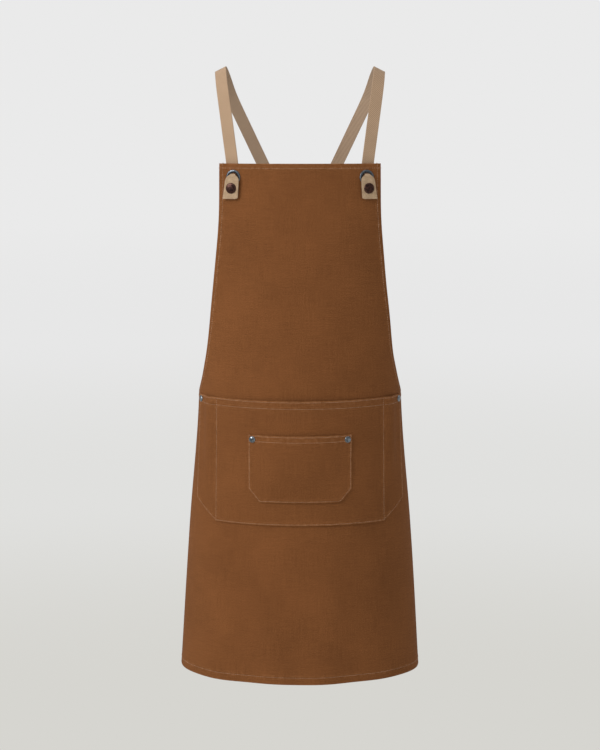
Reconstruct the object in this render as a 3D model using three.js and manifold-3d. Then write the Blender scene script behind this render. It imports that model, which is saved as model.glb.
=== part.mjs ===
// Cross-back butcher apron in the shape it has when worn: canvas panel, pouch and patch pockets,
// eyelets, press-studded strap ends, webbing straps, side loops, waist ties and their knot.
// Millimetres, +Z up, the wearer faces -Y. The origin is where the wearer's shoulders carry the
// straps, midway between them.
import * as THREE from 'three';
import { mergeVertices } from 'three/addons/utils/BufferGeometryUtils.js';
import Module from 'manifold-3d';

const wasm = await Module();
wasm.setup();

// ---- Driving sizes -------------------------------------------------------------------------

// Cloth panel. "Arc" sizes run round the body from the centre front; depths run down from the bib.
const BIB_DROP = 147.5;           // shoulder line down to the top of the bib
const APRON_LENGTH = 843;       // top of the bib down to the hem
const BIB_HALF_ARC = 131;       // centre front to the bib's side edge, at the top
const SKIRT_HALF_ARC = 300;     // centre front to the skirt's side edge
const ARMHOLE_DEPTH = 400;      // top of the bib down to the skirt's top corner
const CLOTH = 1.2;              // canvas thickness
const SEAM_GAP = 0.3;           // clearance between pieces that touch
const BACK_GAP = 1.5;           // clearance between the curved cloth and a flat piece behind it
const HEM_FOLD = 1.1;           // a pocket's turned-in edge, which holds its face off what is behind

// Body form under the cloth, at depths below the bib top: half width, half depth, front face.
const FORM = [
  { depth: 0, halfWidth: 177, halfDepth: 70, front: 0 },
  { depth: 190, halfWidth: 169.5, halfDepth: 94, front: -8 },
  { depth: 380, halfWidth: 167, halfDepth: 112, front: -14 },
  { depth: 600, halfWidth: 185, halfDepth: 126, front: -14 },
  { depth: 840, halfWidth: 203, halfDepth: 139, front: -20 },
];

// Pouch pocket: one wide pocket stitched into a centre compartment and two narrow side ones.
const POUCH_TOP = 376;          // below the bib top
const POUCH_HEIGHT = 204;
const POUCH_HALF_ARC = 194;
const DIVIDER_ARC = 144;        // centre front to each dividing seam
const POUCH_CHAMFER = { across: 50, up: 33 };
const POUCH_SLACK = 9;          // how far the centre compartment stands open
const SIDE_SLACK = 8;           // how far each side compartment stands open

// Patch pocket on the pouch.
const PATCH_TOP = 431.5;
const PATCH_HEIGHT = 110;
const PATCH_HALF_ARC = 83;
const PATCH_CHAMFER = { across: 18, up: 22 };
const PATCH_SLACK = 8;
const POCKET_CLOSE = 40;        // height over which a pocket's slack closes to its bottom seam

// Eyelets in the bib's top corners.
const EYELET_BORE_R = 6.9;
const EYELET_WALL = 0.7;
const EYELET_FLANGE_R = 11.8;
const EYELET_FLANGE = 1.3;
const EYELET_FROM_TOP = 21.5;
const EYELET_FROM_SIDE = 24;    // bib side edge to eyelet centre
const EYELET_WASHER = 0.8;
const EYELET_LIP = 0.6;
const BARREL_GAP = 0.4;         // barrel to the cloth and washer round it

// Strap end tab: comes forward through the eyelet and buttons down on a press stud.
const TAB_THICK = 1.6;
const TAB_NECK = 9;
const TAB_WIDTH = 25.6;
const TAB_LENGTH = 38;          // hinge line to the free end
const TAB_FLARE = 8;            // length over which the neck widens
const TAB_STAND_OFF = 3.6;      // cloth to the tab's back face
const TAB_CORNER_R = 4;
const TAB_TAPER = 1.3;          // each side draws in by this from the free end to the flare
const TAB_TILT_DEG = 6;         // free end leans outward
const TAB_HINGE_RISE = 3.6;     // hinge line above the eyelet's centre

// Press stud.
const CAP_R = 8.5;
const CAP_RISE = 2.7;
const SOCKET_R = 5.2;
const STUD_GAP = 0.5;           // eyelet's flange to the stud below it
const STUD_RUN = TAB_HINGE_RISE + EYELET_FLANGE_R + SOCKET_R + STUD_GAP;
const SOCKET_BORE_R = 3.4;
const STUD_KNOB_R = 3;
const STUD_FLANGE = 0.45;
const STUD_KNOB_RISE = 1.85;
const POST_R = 1.5;
const POST_GAP = 0.4;
const POST_DISC_R = 5;
const POST_DISC = 0.9;

// Pocket rivets.
const RIVET_R = 5.5;
const RIVET_RISE = 2;
const RIVET_SHANK_R = 1.3;
const RIVET_BURR_R = 4.5;
const RIVET_BURR = 1;
const RIVET_INSET = 7.5;        // rivet centre in from a pocket's side and down from its top
const RIVET_SEAT = 19;          // flat strip along a pocket's side, under its rivets

// Webbing straps, side loops, waist ties.
const WEBBING_WIDTH = 20;
const WEBBING = 1.6;
const SHOULDER_HALF = 127;      // centre to each strap where it crosses the shoulder
const SHOULDER_BACK = 72;       // shoulder crest behind the bib's face
const CROSS_DROP = 284;         // shoulder line down to where the straps cross
const CROSS_BACK = 192;         // bib's face back to the crossing
const LOOP_DROP = 16;           // skirt's top corner down to the loop's middle
const LOOP_HEIGHT = 20;
const LOOP_REACH = 27;          // how far the loop stands out past the skirt's side edge
const LOOP_TAIL = 14;           // how much of it is sewn behind the edge
const LOOP_MOUTH = 5.5;
const LOOP_BAND = 1.6;
const LOOP_SEAT = 2.2;          // the loop's flat band to the curved cloth it is sewn on
const KNOT = { width: 30, thick: 14, height: 26 };
const KNOT_BACK = 219;          // bib's face back to the knot's middle

// ---- Solids --------------------------------------------------------------------------------

/** Merges a geometry's shared corners, so that it is one closed mesh. */
function weld(geometry) {
  const bare = geometry.clone();
  bare.deleteAttribute('normal');
  bare.deleteAttribute('uv');
  return mergeVertices(bare.index ? bare : mergeVertices(bare), 1e-4);
}

/** A manifold solid from a closed geometry. */
function solid(geometry) {
  const welded = weld(geometry);
  return new wasm.Manifold(new wasm.Mesh({
    numProp: 3,
    vertProperties: Float32Array.from(welded.attributes.position.array),
    triVerts: Uint32Array.from(welded.index.array),
  }));
}

/** A three.js geometry from a manifold solid. */
function geometryOf(body) {
  const mesh = body.getMesh();
  const geometry = new THREE.BufferGeometry();
  geometry.setAttribute('position', new THREE.BufferAttribute(mesh.vertProperties, 3));
  geometry.setIndex(new THREE.BufferAttribute(mesh.triVerts, 1));
  return geometry;
}

/** The first geometry with the others cut out of it. */
function cut(geometry, ...tools) {
  let body = solid(geometry);
  for (const tool of tools) {
    body = body.subtract(solid(tool));
  }
  return geometryOf(body);
}

/** A solid of revolution about the local normal axis, from a closed (radius, height) profile. */
function turned(profile, segments = 16) {
  const points = profile.map(([r, n]) => new THREE.Vector2(r, n));
  return weld(new THREE.LatheGeometry(points, segments));
}

/** Moves every corner of a grid box to where place(x, y, z) puts it. */
function shaped(box, place) {
  const geometry = weld(box);
  const position = geometry.attributes.position;
  for (let i = 0; i < position.count; i += 1) {
    const p = place(position.getX(i), position.getY(i), position.getZ(i));
    position.setXYZ(i, p.x, p.y, p.z);
  }
  return geometry;
}

// ---- The worn surface ----------------------------------------------------------------------

/** Smooth value of one FORM column at a depth below the bib top. */
function formAt(key, depth) {
  const last = FORM.length - 1;
  let i = 0;
  while (i < last - 1 && depth > FORM[i + 1].depth) {
    i += 1;
  }
  const slope = (j) => {
    const a = FORM[Math.max(0, j - 1)];
    const b = FORM[Math.min(last, j + 1)];
    return (b[key] - a[key]) / (b.depth - a.depth);
  };
  const from = FORM[i];
  const to = FORM[i + 1];
  const span = to.depth - from.depth;
  const t = (depth - from.depth) / span;
  const t2 = t * t;
  const t3 = t2 * t;
  return from[key] * (2 * t3 - 3 * t2 + 1) + to[key] * (3 * t2 - 2 * t3)
    + span * (slope(i) * (t3 - 2 * t2 + t) + slope(i + 1) * (t3 - t2));
}

const ARC_STEPS = 160;
const ARC_REACH = Math.PI * 0.95;

/** Angle round the body's ellipse at an arc length from the centre front. */
function angleAt(arc, a, b) {
  const target = Math.abs(arc);
  const step = ARC_REACH / ARC_STEPS;
  let run = 0;
  for (let i = 0; i < ARC_STEPS; i += 1) {
    const t = (i + 0.5) * step;
    const piece = Math.hypot(a * Math.cos(t), b * Math.sin(t)) * step;
    if (run + piece >= target) {
      return Math.sign(arc) * (i * step + ((target - run) / piece) * step);
    }
    run += piece;
  }
  return Math.sign(arc) * ARC_REACH;
}

/** Frame on the cloth's outer face: point, outward normal, and sideways direction. */
function clothFrame(arc, depth) {
  const a = formAt('halfWidth', depth);
  const b = formAt('halfDepth', depth);
  const t = angleAt(arc, a, b);
  const point = new THREE.Vector3(
    a * Math.sin(t),
    formAt('front', depth) + b * (1 - Math.cos(t)),
    -BIB_DROP - depth,
  );
  const normal = new THREE.Vector3(Math.sin(t) / a, -Math.cos(t) / b, 0).normalize();
  const side = new THREE.Vector3(-normal.y, normal.x, 0);
  return { point, normal, side };
}

/** Point at an arc and depth on the cloth, raised off its outer face. */
function onCloth(arc, depth, raise = 0) {
  const { point, normal } = clothFrame(arc, depth);
  return point.addScaledVector(normal, raise);
}

/** A sheet on the body: rows of depths, each with its half arc, and its inner face's raise. */
function clothSheet({ depths, halfArc, raise, thickness, columns }) {
  const rows = depths.length - 1;
  return shaped(new THREE.BoxGeometry(2, 1, rows, columns, 1, rows), (x, y, z) => {
    const depth = depths[Math.round(rows / 2 - z)];
    const arc = x * halfArc(depth);
    return onCloth(arc, depth, raise(arc, depth) + (y < 0 ? thickness : 0));
  });
}

/** Even steps from one value to another, both included. */
function steps(from, to, count) {
  return Array.from({ length: count + 1 }, (_, i) => from + ((to - from) * i) / count);
}

/** Smooth 0 to 1 between two values. */
function ease(value, from, to) {
  return THREE.MathUtils.smoothstep(value, from, to);
}

// ---- Panel and pockets ---------------------------------------------------------------------

// The armhole edge: down beside the bib, then sweeping out to the skirt's corner.
const ARMHOLE = new THREE.CatmullRomCurve3([
  new THREE.Vector3(BIB_HALF_ARC, 0, 0),
  new THREE.Vector3(BIB_HALF_ARC + 4, 0.24 * ARMHOLE_DEPTH, 0),
  new THREE.Vector3(BIB_HALF_ARC + 22, 0.55 * ARMHOLE_DEPTH, 0),
  new THREE.Vector3(BIB_HALF_ARC + 45, 0.8 * ARMHOLE_DEPTH, 0),
  new THREE.Vector3(BIB_HALF_ARC + 0.45 * (SKIRT_HALF_ARC - BIB_HALF_ARC), 0.92 * ARMHOLE_DEPTH, 0),
  new THREE.Vector3(SKIRT_HALF_ARC, ARMHOLE_DEPTH, 0),
]);
const ARMHOLE_POINTS = ARMHOLE.getPoints(60);

/** Half the panel's width round the body at a depth below the bib top. */
function panelHalfArc(depth) {
  if (depth >= ARMHOLE_DEPTH) {
    return SKIRT_HALF_ARC;
  }
  let i = 0;
  while (i < ARMHOLE_POINTS.length - 2 && ARMHOLE_POINTS[i + 1].y < depth) {
    i += 1;
  }
  const low = ARMHOLE_POINTS[i];
  const high = ARMHOLE_POINTS[i + 1];
  return THREE.MathUtils.mapLinear(depth, low.y, high.y, low.x, high.x);
}

/** Half width of a pocket with cut-off bottom corners at a depth below the bib top. */
function pocketHalfArc(depth, top, height, halfArc, chamfer) {
  const intoChamfer = depth - (top + height - chamfer.up);
  return halfArc - chamfer.across * Math.max(0, intoChamfer / chamfer.up);
}

/** How far the pouch's inner face stands off the panel. */
function pouchRaise(arc, depth) {
  const fullHeight = 1 - ease(depth, POUCH_TOP + POUCH_HEIGHT - POCKET_CLOSE, POUCH_TOP + POUCH_HEIGHT - 4);
  const across = Math.abs(arc);
  if (across < DIVIDER_ARC) {
    const bow = 1 - (across / DIVIDER_ARC) ** 2;
    return HEM_FOLD + POUCH_SLACK * bow * bow * fullHeight;
  }
  const half = (POUCH_HALF_ARC - RIVET_SEAT - DIVIDER_ARC) / 2;
  const bow = Math.max(0, 1 - ((across - DIVIDER_ARC - half) / half) ** 2);
  const sideHeight = 1 - ease(depth, POUCH_TOP + 60, POUCH_TOP + POUCH_HEIGHT - POUCH_CHAMFER.up);
  return HEM_FOLD + SIDE_SLACK * bow * sideHeight;
}

/** How far the patch pocket's inner face stands off the panel. */
function patchRaise(arc, depth) {
  const fullHeight = 1 - ease(depth, PATCH_TOP + PATCH_HEIGHT - POCKET_CLOSE, PATCH_TOP + PATCH_HEIGHT - 3);
  const bow = Math.max(0, 1 - (arc / (PATCH_HALF_ARC - RIVET_SEAT)) ** 2);
  return pouchRaise(arc, depth) + CLOTH + HEM_FOLD + PATCH_SLACK * bow * fullHeight;
}

/** A straight cylinder along the cloth's normal, to drill a hole for a shank or barrel. */
function drill(arc, depth, radius) {
  const reach = 40;
  const tool = new THREE.CylinderGeometry(radius, radius, reach, 16);
  return tool.applyMatrix4(fixingMatrix(arc, depth));
}

/** Matrix that lays a fixing's +Y axis along the cloth's normal, with its origin on the cloth. */
function fixingMatrix(arc, depth, raise = 0) {
  const { point, normal, side } = clothFrame(arc, depth);
  const up = new THREE.Vector3(0, 0, 1);
  return new THREE.Matrix4().makeBasis(side, normal, up.negate())
    .setPosition(point.addScaledVector(normal, raise));
}

const EYELET_ARC = BIB_HALF_ARC - EYELET_FROM_SIDE;
const TAB_TILT = THREE.MathUtils.degToRad(TAB_TILT_DEG);
const STUD_LEAN = STUD_RUN * Math.sin(TAB_TILT);
const STUD_DROP = STUD_RUN * Math.cos(TAB_TILT) - TAB_HINGE_RISE;
const STUD_ARC = EYELET_ARC + STUD_LEAN;
const STUD_DEPTH = EYELET_FROM_TOP + STUD_DROP;
const EYELET_HOLE_R = EYELET_BORE_R + EYELET_WALL + BARREL_GAP;
const POST_HOLE_R = POST_R + POST_GAP;
const RIVET_HOLE_R = RIVET_SHANK_R + POST_GAP;
const SIDES = [{ side: 'left', sign: -1 }, { side: 'right', sign: 1 }];

const POUCH_RIVET = { arc: POUCH_HALF_ARC - RIVET_INSET, depth: POUCH_TOP + RIVET_INSET, raise: pouchRaise };
const PATCH_RIVET = { arc: PATCH_HALF_ARC - RIVET_INSET, depth: PATCH_TOP + RIVET_INSET, raise: patchRaise };

/** The highest that a pocket's inner face stands anywhere under a rivet's head. */
function rivetSeat({ arc, depth, raise }) {
  const around = [-RIVET_R, 0, RIVET_R];
  return SEAM_GAP + Math.max(...around.flatMap((x) => around.map((y) => raise(arc + x, depth + y))));
}

function panelGeometry() {
  const armholeRows = [0, 60, 120, 180, 230, 270, 300, 325, 345, 360, 372, 382, 390, 396, 400]
    .map((row) => (row * ARMHOLE_DEPTH) / 400);
  const skirtRows = steps(ARMHOLE_DEPTH, APRON_LENGTH, 8).slice(1);
  const sheet = clothSheet({
    depths: [...armholeRows, ...skirtRows],
    halfArc: panelHalfArc,
    raise: () => -CLOTH,
    thickness: CLOTH,
    columns: 44,
  });
  const holes = SIDES.flatMap(({ sign }) => [
    drill(sign * EYELET_ARC, EYELET_FROM_TOP, EYELET_HOLE_R),
    drill(sign * STUD_ARC, STUD_DEPTH, POST_HOLE_R),
    drill(sign * POUCH_RIVET.arc, POUCH_RIVET.depth, RIVET_HOLE_R),
    drill(sign * PATCH_RIVET.arc, PATCH_RIVET.depth, RIVET_HOLE_R),
  ]);
  return cut(sheet, ...holes);
}

function pouchGeometry() {
  const chamferTop = POUCH_TOP + POUCH_HEIGHT - POUCH_CHAMFER.up;
  const sheet = clothSheet({
    depths: [...steps(POUCH_TOP, chamferTop, 7), ...steps(chamferTop, POUCH_TOP + POUCH_HEIGHT, 4).slice(1)],
    halfArc: (depth) => pocketHalfArc(depth, POUCH_TOP, POUCH_HEIGHT, POUCH_HALF_ARC, POUCH_CHAMFER),
    raise: pouchRaise,
    thickness: CLOTH,
    columns: 40,
  });
  const holes = SIDES.flatMap(({ sign }) => [
    drill(sign * POUCH_RIVET.arc, POUCH_RIVET.depth, RIVET_HOLE_R),
    drill(sign * PATCH_RIVET.arc, PATCH_RIVET.depth, RIVET_HOLE_R),
  ]);
  return cut(sheet, ...holes);
}

function patchGeometry() {
  const chamferTop = PATCH_TOP + PATCH_HEIGHT - PATCH_CHAMFER.up;
  const sheet = clothSheet({
    depths: [...steps(PATCH_TOP, chamferTop, 5), ...steps(chamferTop, PATCH_TOP + PATCH_HEIGHT, 3).slice(1)],
    halfArc: (depth) => pocketHalfArc(depth, PATCH_TOP, PATCH_HEIGHT, PATCH_HALF_ARC, PATCH_CHAMFER),
    raise: patchRaise,
    thickness: CLOTH,
    columns: 16,
  });
  const holes = SIDES.map(({ sign }) =>
    drill(sign * PATCH_RIVET.arc, PATCH_RIVET.depth, RIVET_HOLE_R));
  return cut(sheet, ...holes);
}

// ---- Eyelets, press studs and rivets, each turned about the cloth's normal ------------------

const EYELET_OUTER_R = EYELET_BORE_R + EYELET_WALL;
const WASHER_FRONT = -CLOTH - BACK_GAP;
const WASHER_BACK = WASHER_FRONT - EYELET_WASHER;
const LIP_FRONT = WASHER_BACK - SEAM_GAP;
const LIP_BACK = LIP_FRONT - EYELET_LIP;
const LIP_R = EYELET_OUTER_R + 1.9;

/** Eyelet: a front flange with a barrel through the cloth, rolled over behind the washer. */
function eyeletGeometry() {
  const crown = SEAM_GAP + EYELET_FLANGE;
  const round = 0.6;
  return turned([
    [EYELET_BORE_R, LIP_BACK],
    [LIP_R, LIP_BACK],
    [LIP_R, LIP_FRONT],
    [EYELET_OUTER_R, LIP_FRONT],
    [EYELET_OUTER_R, SEAM_GAP],
    [EYELET_FLANGE_R, SEAM_GAP],
    [EYELET_FLANGE_R - round, crown - round / 2],
    [(EYELET_BORE_R + EYELET_FLANGE_R) / 2, crown],
    [EYELET_BORE_R + round, crown - round / 2],
    [EYELET_BORE_R, SEAM_GAP],
    [EYELET_BORE_R, LIP_BACK],
  ], 24);
}

/** Ring behind the cloth that the eyelet is rolled over. */
function washerGeometry() {
  const inner = EYELET_OUTER_R + BARREL_GAP;
  return turned([
    [inner, WASHER_BACK],
    [EYELET_FLANGE_R, WASHER_BACK],
    [EYELET_FLANGE_R, WASHER_FRONT],
    [inner, WASHER_FRONT],
    [inner, WASHER_BACK],
  ], 24);
}

const TAB_FRONT = TAB_STAND_OFF + TAB_THICK;
const STUD_TOP = SEAM_GAP + STUD_FLANGE + STUD_KNOB_RISE;

/** Domed cap on the tab, with the post that goes through it. */
function capGeometry() {
  const base = TAB_FRONT + SEAM_GAP;
  const postEnd = STUD_TOP + SEAM_GAP;
  const rim = 0.5;
  return turned([
    [0, postEnd],
    [POST_R, postEnd],
    [POST_R, base],
    [CAP_R - rim, base],
    [CAP_R, base + rim],
    [CAP_R * 0.88, base + CAP_RISE * 0.62],
    [CAP_R * 0.55, base + CAP_RISE * 0.92],
    [0, base + CAP_RISE],
  ]);
}

/** Socket behind the tab that snaps over the stud. */
function socketGeometry() {
  const mouth = SEAM_GAP + STUD_FLANGE + SEAM_GAP;
  return turned([
    [SOCKET_BORE_R, mouth],
    [SOCKET_R, mouth],
    [SOCKET_R, TAB_STAND_OFF - SEAM_GAP],
    [SOCKET_BORE_R, TAB_STAND_OFF - SEAM_GAP],
    [SOCKET_BORE_R, mouth],
  ]);
}

/** Stud on the bib's face. */
function studGeometry() {
  const flange = SEAM_GAP + STUD_FLANGE;
  const waist = STUD_KNOB_R - 0.3;
  const shoulder = STUD_TOP - 0.6;
  return turned([
    [0, SEAM_GAP],
    [SOCKET_R, SEAM_GAP],
    [SOCKET_R, flange],
    [waist, flange],
    [STUD_KNOB_R, shoulder],
    [waist, STUD_TOP],
    [0, STUD_TOP],
  ]);
}

/** Disc and pin behind the bib that hold the stud. */
function postGeometry() {
  const face = -CLOTH - BACK_GAP;
  return turned([
    [0, face - POST_DISC],
    [POST_DISC_R, face - POST_DISC],
    [POST_DISC_R, face],
    [POST_R, face],
    [POST_R, 0],
    [0, 0],
  ]);
}

const BURR_FRONT = -CLOTH - BACK_GAP;
const BURR_BACK = BURR_FRONT - RIVET_BURR;
const SHANK_END = 0.4;

/** Rivet: domed head outside, shank through pocket and panel. */
function rivetGeometry(raise) {
  const base = raise + CLOTH + SEAM_GAP;
  const rim = 0.4;
  return turned([
    [0, BURR_BACK - SHANK_END],
    [RIVET_SHANK_R, BURR_BACK - SHANK_END],
    [RIVET_SHANK_R, base],
    [RIVET_R - rim, base],
    [RIVET_R, base + rim],
    [RIVET_R * 0.8, base + RIVET_RISE * 0.7],
    [RIVET_R * 0.4, base + RIVET_RISE],
    [0, base + RIVET_RISE],
  ], 14);
}

/** Burr: the washer behind the panel that the rivet's shank is closed over. */
function burrGeometry() {
  return turned([
    [RIVET_HOLE_R, BURR_BACK],
    [RIVET_BURR_R, BURR_BACK],
    [RIVET_BURR_R, BURR_FRONT],
    [RIVET_HOLE_R, BURR_FRONT],
    [RIVET_HOLE_R, BURR_BACK],
  ], 14);
}

// ---- Strap end tabs ------------------------------------------------------------------------

const HINGE_RAISE = TAB_STAND_OFF + TAB_THICK / 2;

/** Matrix that lays a fixing on the cloth at one side's eyelet. */
function eyeletFrame(sign) {
  return fixingMatrix(sign * EYELET_ARC, EYELET_FROM_TOP);
}

/** The part of the tab that opens, drawn flat: x sideways outward, y down from the hinge line. */
function tabFlapGeometry(sign) {
  const outline = new THREE.Shape();
  const half = TAB_WIDTH / 2;
  const neck = TAB_NECK / 2;
  const shoulder = half - TAB_TAPER;
  const knee = { x: shoulder - 1, y: TAB_FLARE * 0.3 };
  outline.moveTo(-neck, 0);
  outline.lineTo(neck, 0);
  outline.quadraticCurveTo(knee.x, knee.y, shoulder, TAB_FLARE);
  outline.lineTo(half, TAB_LENGTH);
  outline.lineTo(-half + TAB_CORNER_R, TAB_LENGTH);
  outline.quadraticCurveTo(-half, TAB_LENGTH, -half, TAB_LENGTH - TAB_CORNER_R);
  outline.lineTo(-shoulder, TAB_FLARE);
  outline.quadraticCurveTo(-knee.x, knee.y, -neck, 0);
  const plate = new THREE.ExtrudeGeometry(outline, {
    depth: TAB_THICK,
    bevelEnabled: false,
    curveSegments: 5,
  });
  // Drawn x, y, depth become sideways, down and outward, with the outward corner on the outer side.
  plate.applyMatrix4(new THREE.Matrix4().makeBasis(
    new THREE.Vector3(1, 0, 0),
    new THREE.Vector3(0, 0, 1),
    new THREE.Vector3(0, -1, 0),
  ));
  plate.translate(0, TAB_THICK, 0);
  const knuckle = new THREE.CylinderGeometry(TAB_THICK / 2, TAB_THICK / 2, TAB_NECK, 12);
  knuckle.rotateZ(Math.PI / 2);
  knuckle.translate(0, TAB_THICK / 2, 0);
  let body = solid(plate).add(solid(knuckle));
  body = body.subtract(solid(new THREE.CylinderGeometry(POST_HOLE_R, POST_HOLE_R, 20, 16)
    .translate(0, 0, STUD_RUN)));
  const geometry = geometryOf(body);
  if (sign < 0) {
    mirrorX(geometry);
  }
  geometry.applyMatrix4(new THREE.Matrix4().makeRotationY(sign * TAB_TILT));
  geometry.translate(0, TAB_STAND_OFF, -TAB_HINGE_RISE);
  return geometry.applyMatrix4(eyeletFrame(sign));
}

/** Mirrors a geometry across x = 0 and keeps its faces pointing out. */
function mirrorX(geometry) {
  geometry.scale(-1, 1, 1);
  const index = geometry.index.array;
  for (let i = 0; i < index.length; i += 3) {
    [index[i], index[i + 1]] = [index[i + 1], index[i]];
  }
  geometry.index.needsUpdate = true;
  return geometry;
}

const ROOT_BACK = LIP_BACK - 2 * SEAM_GAP;

// The strap leans outwards above its eyelet: where its line starts, and its slope.
const STRAP_START_OUT = 2.2;
const STRAP_SLOPE = 0.12;

/** How far outwards the strap stands from its eyelet's centre, at a height above it. */
function strapLean(above) {
  return STRAP_START_OUT + STRAP_SLOPE * above;
}

/** The part of the tab behind the bib and through the eyelet, which is sewn to the webbing. */
function tabRootGeometry(sign) {
  const knuckleGap = TAB_THICK / 2 + SEAM_GAP;
  const behind = ROOT_BACK - TAB_THICK / 2;
  const web = WEBBING_WIDTH / 2;
  const neck = TAB_NECK / 2;
  const hinge = -TAB_HINGE_RISE;
  const points = [
    { down: -EYELET_FROM_TOP + 3, raise: behind, half: web, out: strapLean(EYELET_FROM_TOP - 3) },
    { down: -11.5, raise: behind, half: web, out: strapLean(11.5) },
    { down: -7, raise: behind, half: neck, out: 0.8 },
    { down: hinge - 0.6, raise: behind + 0.9, half: neck, out: 0 },
    { down: hinge + 0.2, raise: LIP_BACK + 1.4, half: neck, out: 0 },
    { down: hinge, raise: 0, half: neck, out: 0 },
    { down: hinge - 0.2, raise: HINGE_RAISE - knuckleGap, half: neck, out: 0 },
  ];
  const last = points.length - 1;
  const box = new THREE.BoxGeometry(2, 2, last, 1, 1, last);
  const geometry = shaped(box, (x, y, z) => {
    const i = Math.round(z + last / 2);
    const before = points[Math.max(0, i - 1)];
    const after = points[Math.min(last, i + 1)];
    const along = new THREE.Vector2(after.down - before.down, after.raise - before.raise).normalize();
    const offset = (y * TAB_THICK) / 2;
    return new THREE.Vector3(
      x * points[i].half + sign * points[i].out,
      points[i].raise + offset * along.x,
      points[i].down - offset * along.y,
    );
  });
  return geometry.applyMatrix4(eyeletFrame(sign));
}

// ---- Webbing -------------------------------------------------------------------------------

/** A flat ribbon along smooth centre points, each with the direction its face looks. */
function ribbonGeometry(stations, count, width = WEBBING_WIDTH, thickness = WEBBING) {
  const line = new THREE.CatmullRomCurve3(stations.map((s) => s.point), false, 'centripetal');
  const box = new THREE.BoxGeometry(2, 2, count, 1, 1, count);
  return shaped(box, (x, y, z) => {
    const u = Math.round(z + count / 2) / count;
    const place = u * (stations.length - 1);
    const i = Math.min(stations.length - 2, Math.floor(place));
    const point = line.getPoint(u);
    const along = line.getTangent(u);
    const face = stations[i].face.clone().lerp(stations[i + 1].face, place - i);
    const across = new THREE.Vector3().crossVectors(face, along).normalize();
    const out = new THREE.Vector3().crossVectors(along, across).normalize();
    return point.addScaledVector(across, (x * width) / 2).addScaledVector(out, (y * thickness) / 2);
  });
}

/** One point of a ribbon, with the direction that its outer face looks. */
function station(point, face) {
  return { point, face: face.clone().normalize() };
}

const LOOP_DEPTH = ARMHOLE_DEPTH + LOOP_DROP;
const LOOP_RAISE = -CLOTH - LOOP_SEAT - LOOP_BAND - LOOP_MOUTH / 2;
const LOOP_CENTRE_OUT = LOOP_REACH - LOOP_BAND - WEBBING_WIDTH / 2 - 1.4;
const TIE_DROP = LOOP_HEIGHT / 2 + WEBBING_WIDTH / 2 + 4;
const TIE_RAISE = LOOP_RAISE + WEBBING + SEAM_GAP;

/** A point beside the skirt's side edge at the loop: out past the edge, raised, and above. */
function besideLoop(sign, out, raise, above) {
  const { point, normal, side } = clothFrame(sign * SKIRT_HALF_ARC, LOOP_DEPTH);
  return point.addScaledVector(side, sign * out).addScaledVector(normal, raise)
    .add(new THREE.Vector3(0, 0, above));
}

/** Strap: from behind the bib, over the shoulder, across the back, into the far side's loop. */
function strapGeometry(sign) {
  const eyelet = clothFrame(sign * EYELET_ARC, EYELET_FROM_TOP);
  const webRaise = ROOT_BACK - TAB_THICK - SEAM_GAP - WEBBING / 2;
  const start = (above, extra) => eyelet.point.clone().addScaledVector(eyelet.normal, webRaise - extra)
    .addScaledVector(eyelet.side, sign * strapLean(above))
    .add(new THREE.Vector3(0, 0, above));
  const foot = start(0, 0);
  const farLoop = clothFrame(-sign * SKIRT_HALF_ARC, LOOP_DEPTH);
  const crest = new THREE.Vector3(sign * SHOULDER_HALF, SHOULDER_BACK, WEBBING / 2);
  const over = sign * (WEBBING / 2 + SEAM_GAP);
  const crossing = new THREE.Vector3(0, CROSS_BACK + over, -CROSS_DROP);
  const loopTop = besideLoop(-sign, LOOP_CENTRE_OUT, LOOP_RAISE, 40);
  // Share of the way from one anchor to the next: across, back and up or down.
  const between = (from, to, across, back, rise) => new THREE.Vector3(
    THREE.MathUtils.lerp(from.x, to.x, across),
    THREE.MathUtils.lerp(from.y, to.y, back),
    THREE.MathUtils.lerp(from.z, to.z, rise),
  );
  const look = (x, y, z) => new THREE.Vector3(sign * x, y, z);
  return ribbonGeometry([
    station(start(1, 0), eyelet.normal),
    station(start(12, 0), eyelet.normal),
    station(start(26, 0.4), eyelet.normal),
    station(between(foot, crest, 0.36, 0.06, 0.38), look(0.28, -0.95, 0.05)),
    station(between(foot, crest, 0.62, 0.18, 0.63), look(0.3, -0.92, 0.2)),
    station(between(foot, crest, 0.86, 0.4, 0.85), look(0.38, -0.8, 0.5)),
    station(between(foot, crest, 0.97, 0.68, 0.965), look(0.45, -0.4, 0.8)),
    station(crest, look(0.45, 0, 0.9)),
    station(between(crest, crossing, 0.03, 0.3, 0.035), look(0.4, 0.45, 0.8)),
    station(between(crest, crossing, 0.115, 0.55, 0.152), look(0.3, 0.8, 0.45)),
    station(between(crest, crossing, 0.333, 0.76, 0.367), look(0.25, 0.95, 0.2)),
    station(between(crest, crossing, 0.644, 0.92, 0.663), look(0.15, 0.97, 0.1)),
    station(crossing, look(0, 1, 0.05)),
    station(between(crossing, loopTop, 0.3, 0.08, 0.3), look(-0.1, 1, 0)),
    station(between(crossing, loopTop, 0.6, 0.32, 0.6), look(-0.25, 1, 0)),
    station(between(crossing, loopTop, 0.85, 0.68, 0.84), farLoop.normal),
    station(loopTop, farLoop.normal),
    station(besideLoop(-sign, LOOP_CENTRE_OUT, LOOP_RAISE, 14), farLoop.normal),
    station(besideLoop(-sign, LOOP_CENTRE_OUT, LOOP_RAISE, -12), farLoop.normal),
    station(besideLoop(-sign, LOOP_CENTRE_OUT, LOOP_RAISE, -TIE_DROP - WEBBING_WIDTH / 2), farLoop.normal),
  ], 64);
}

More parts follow.
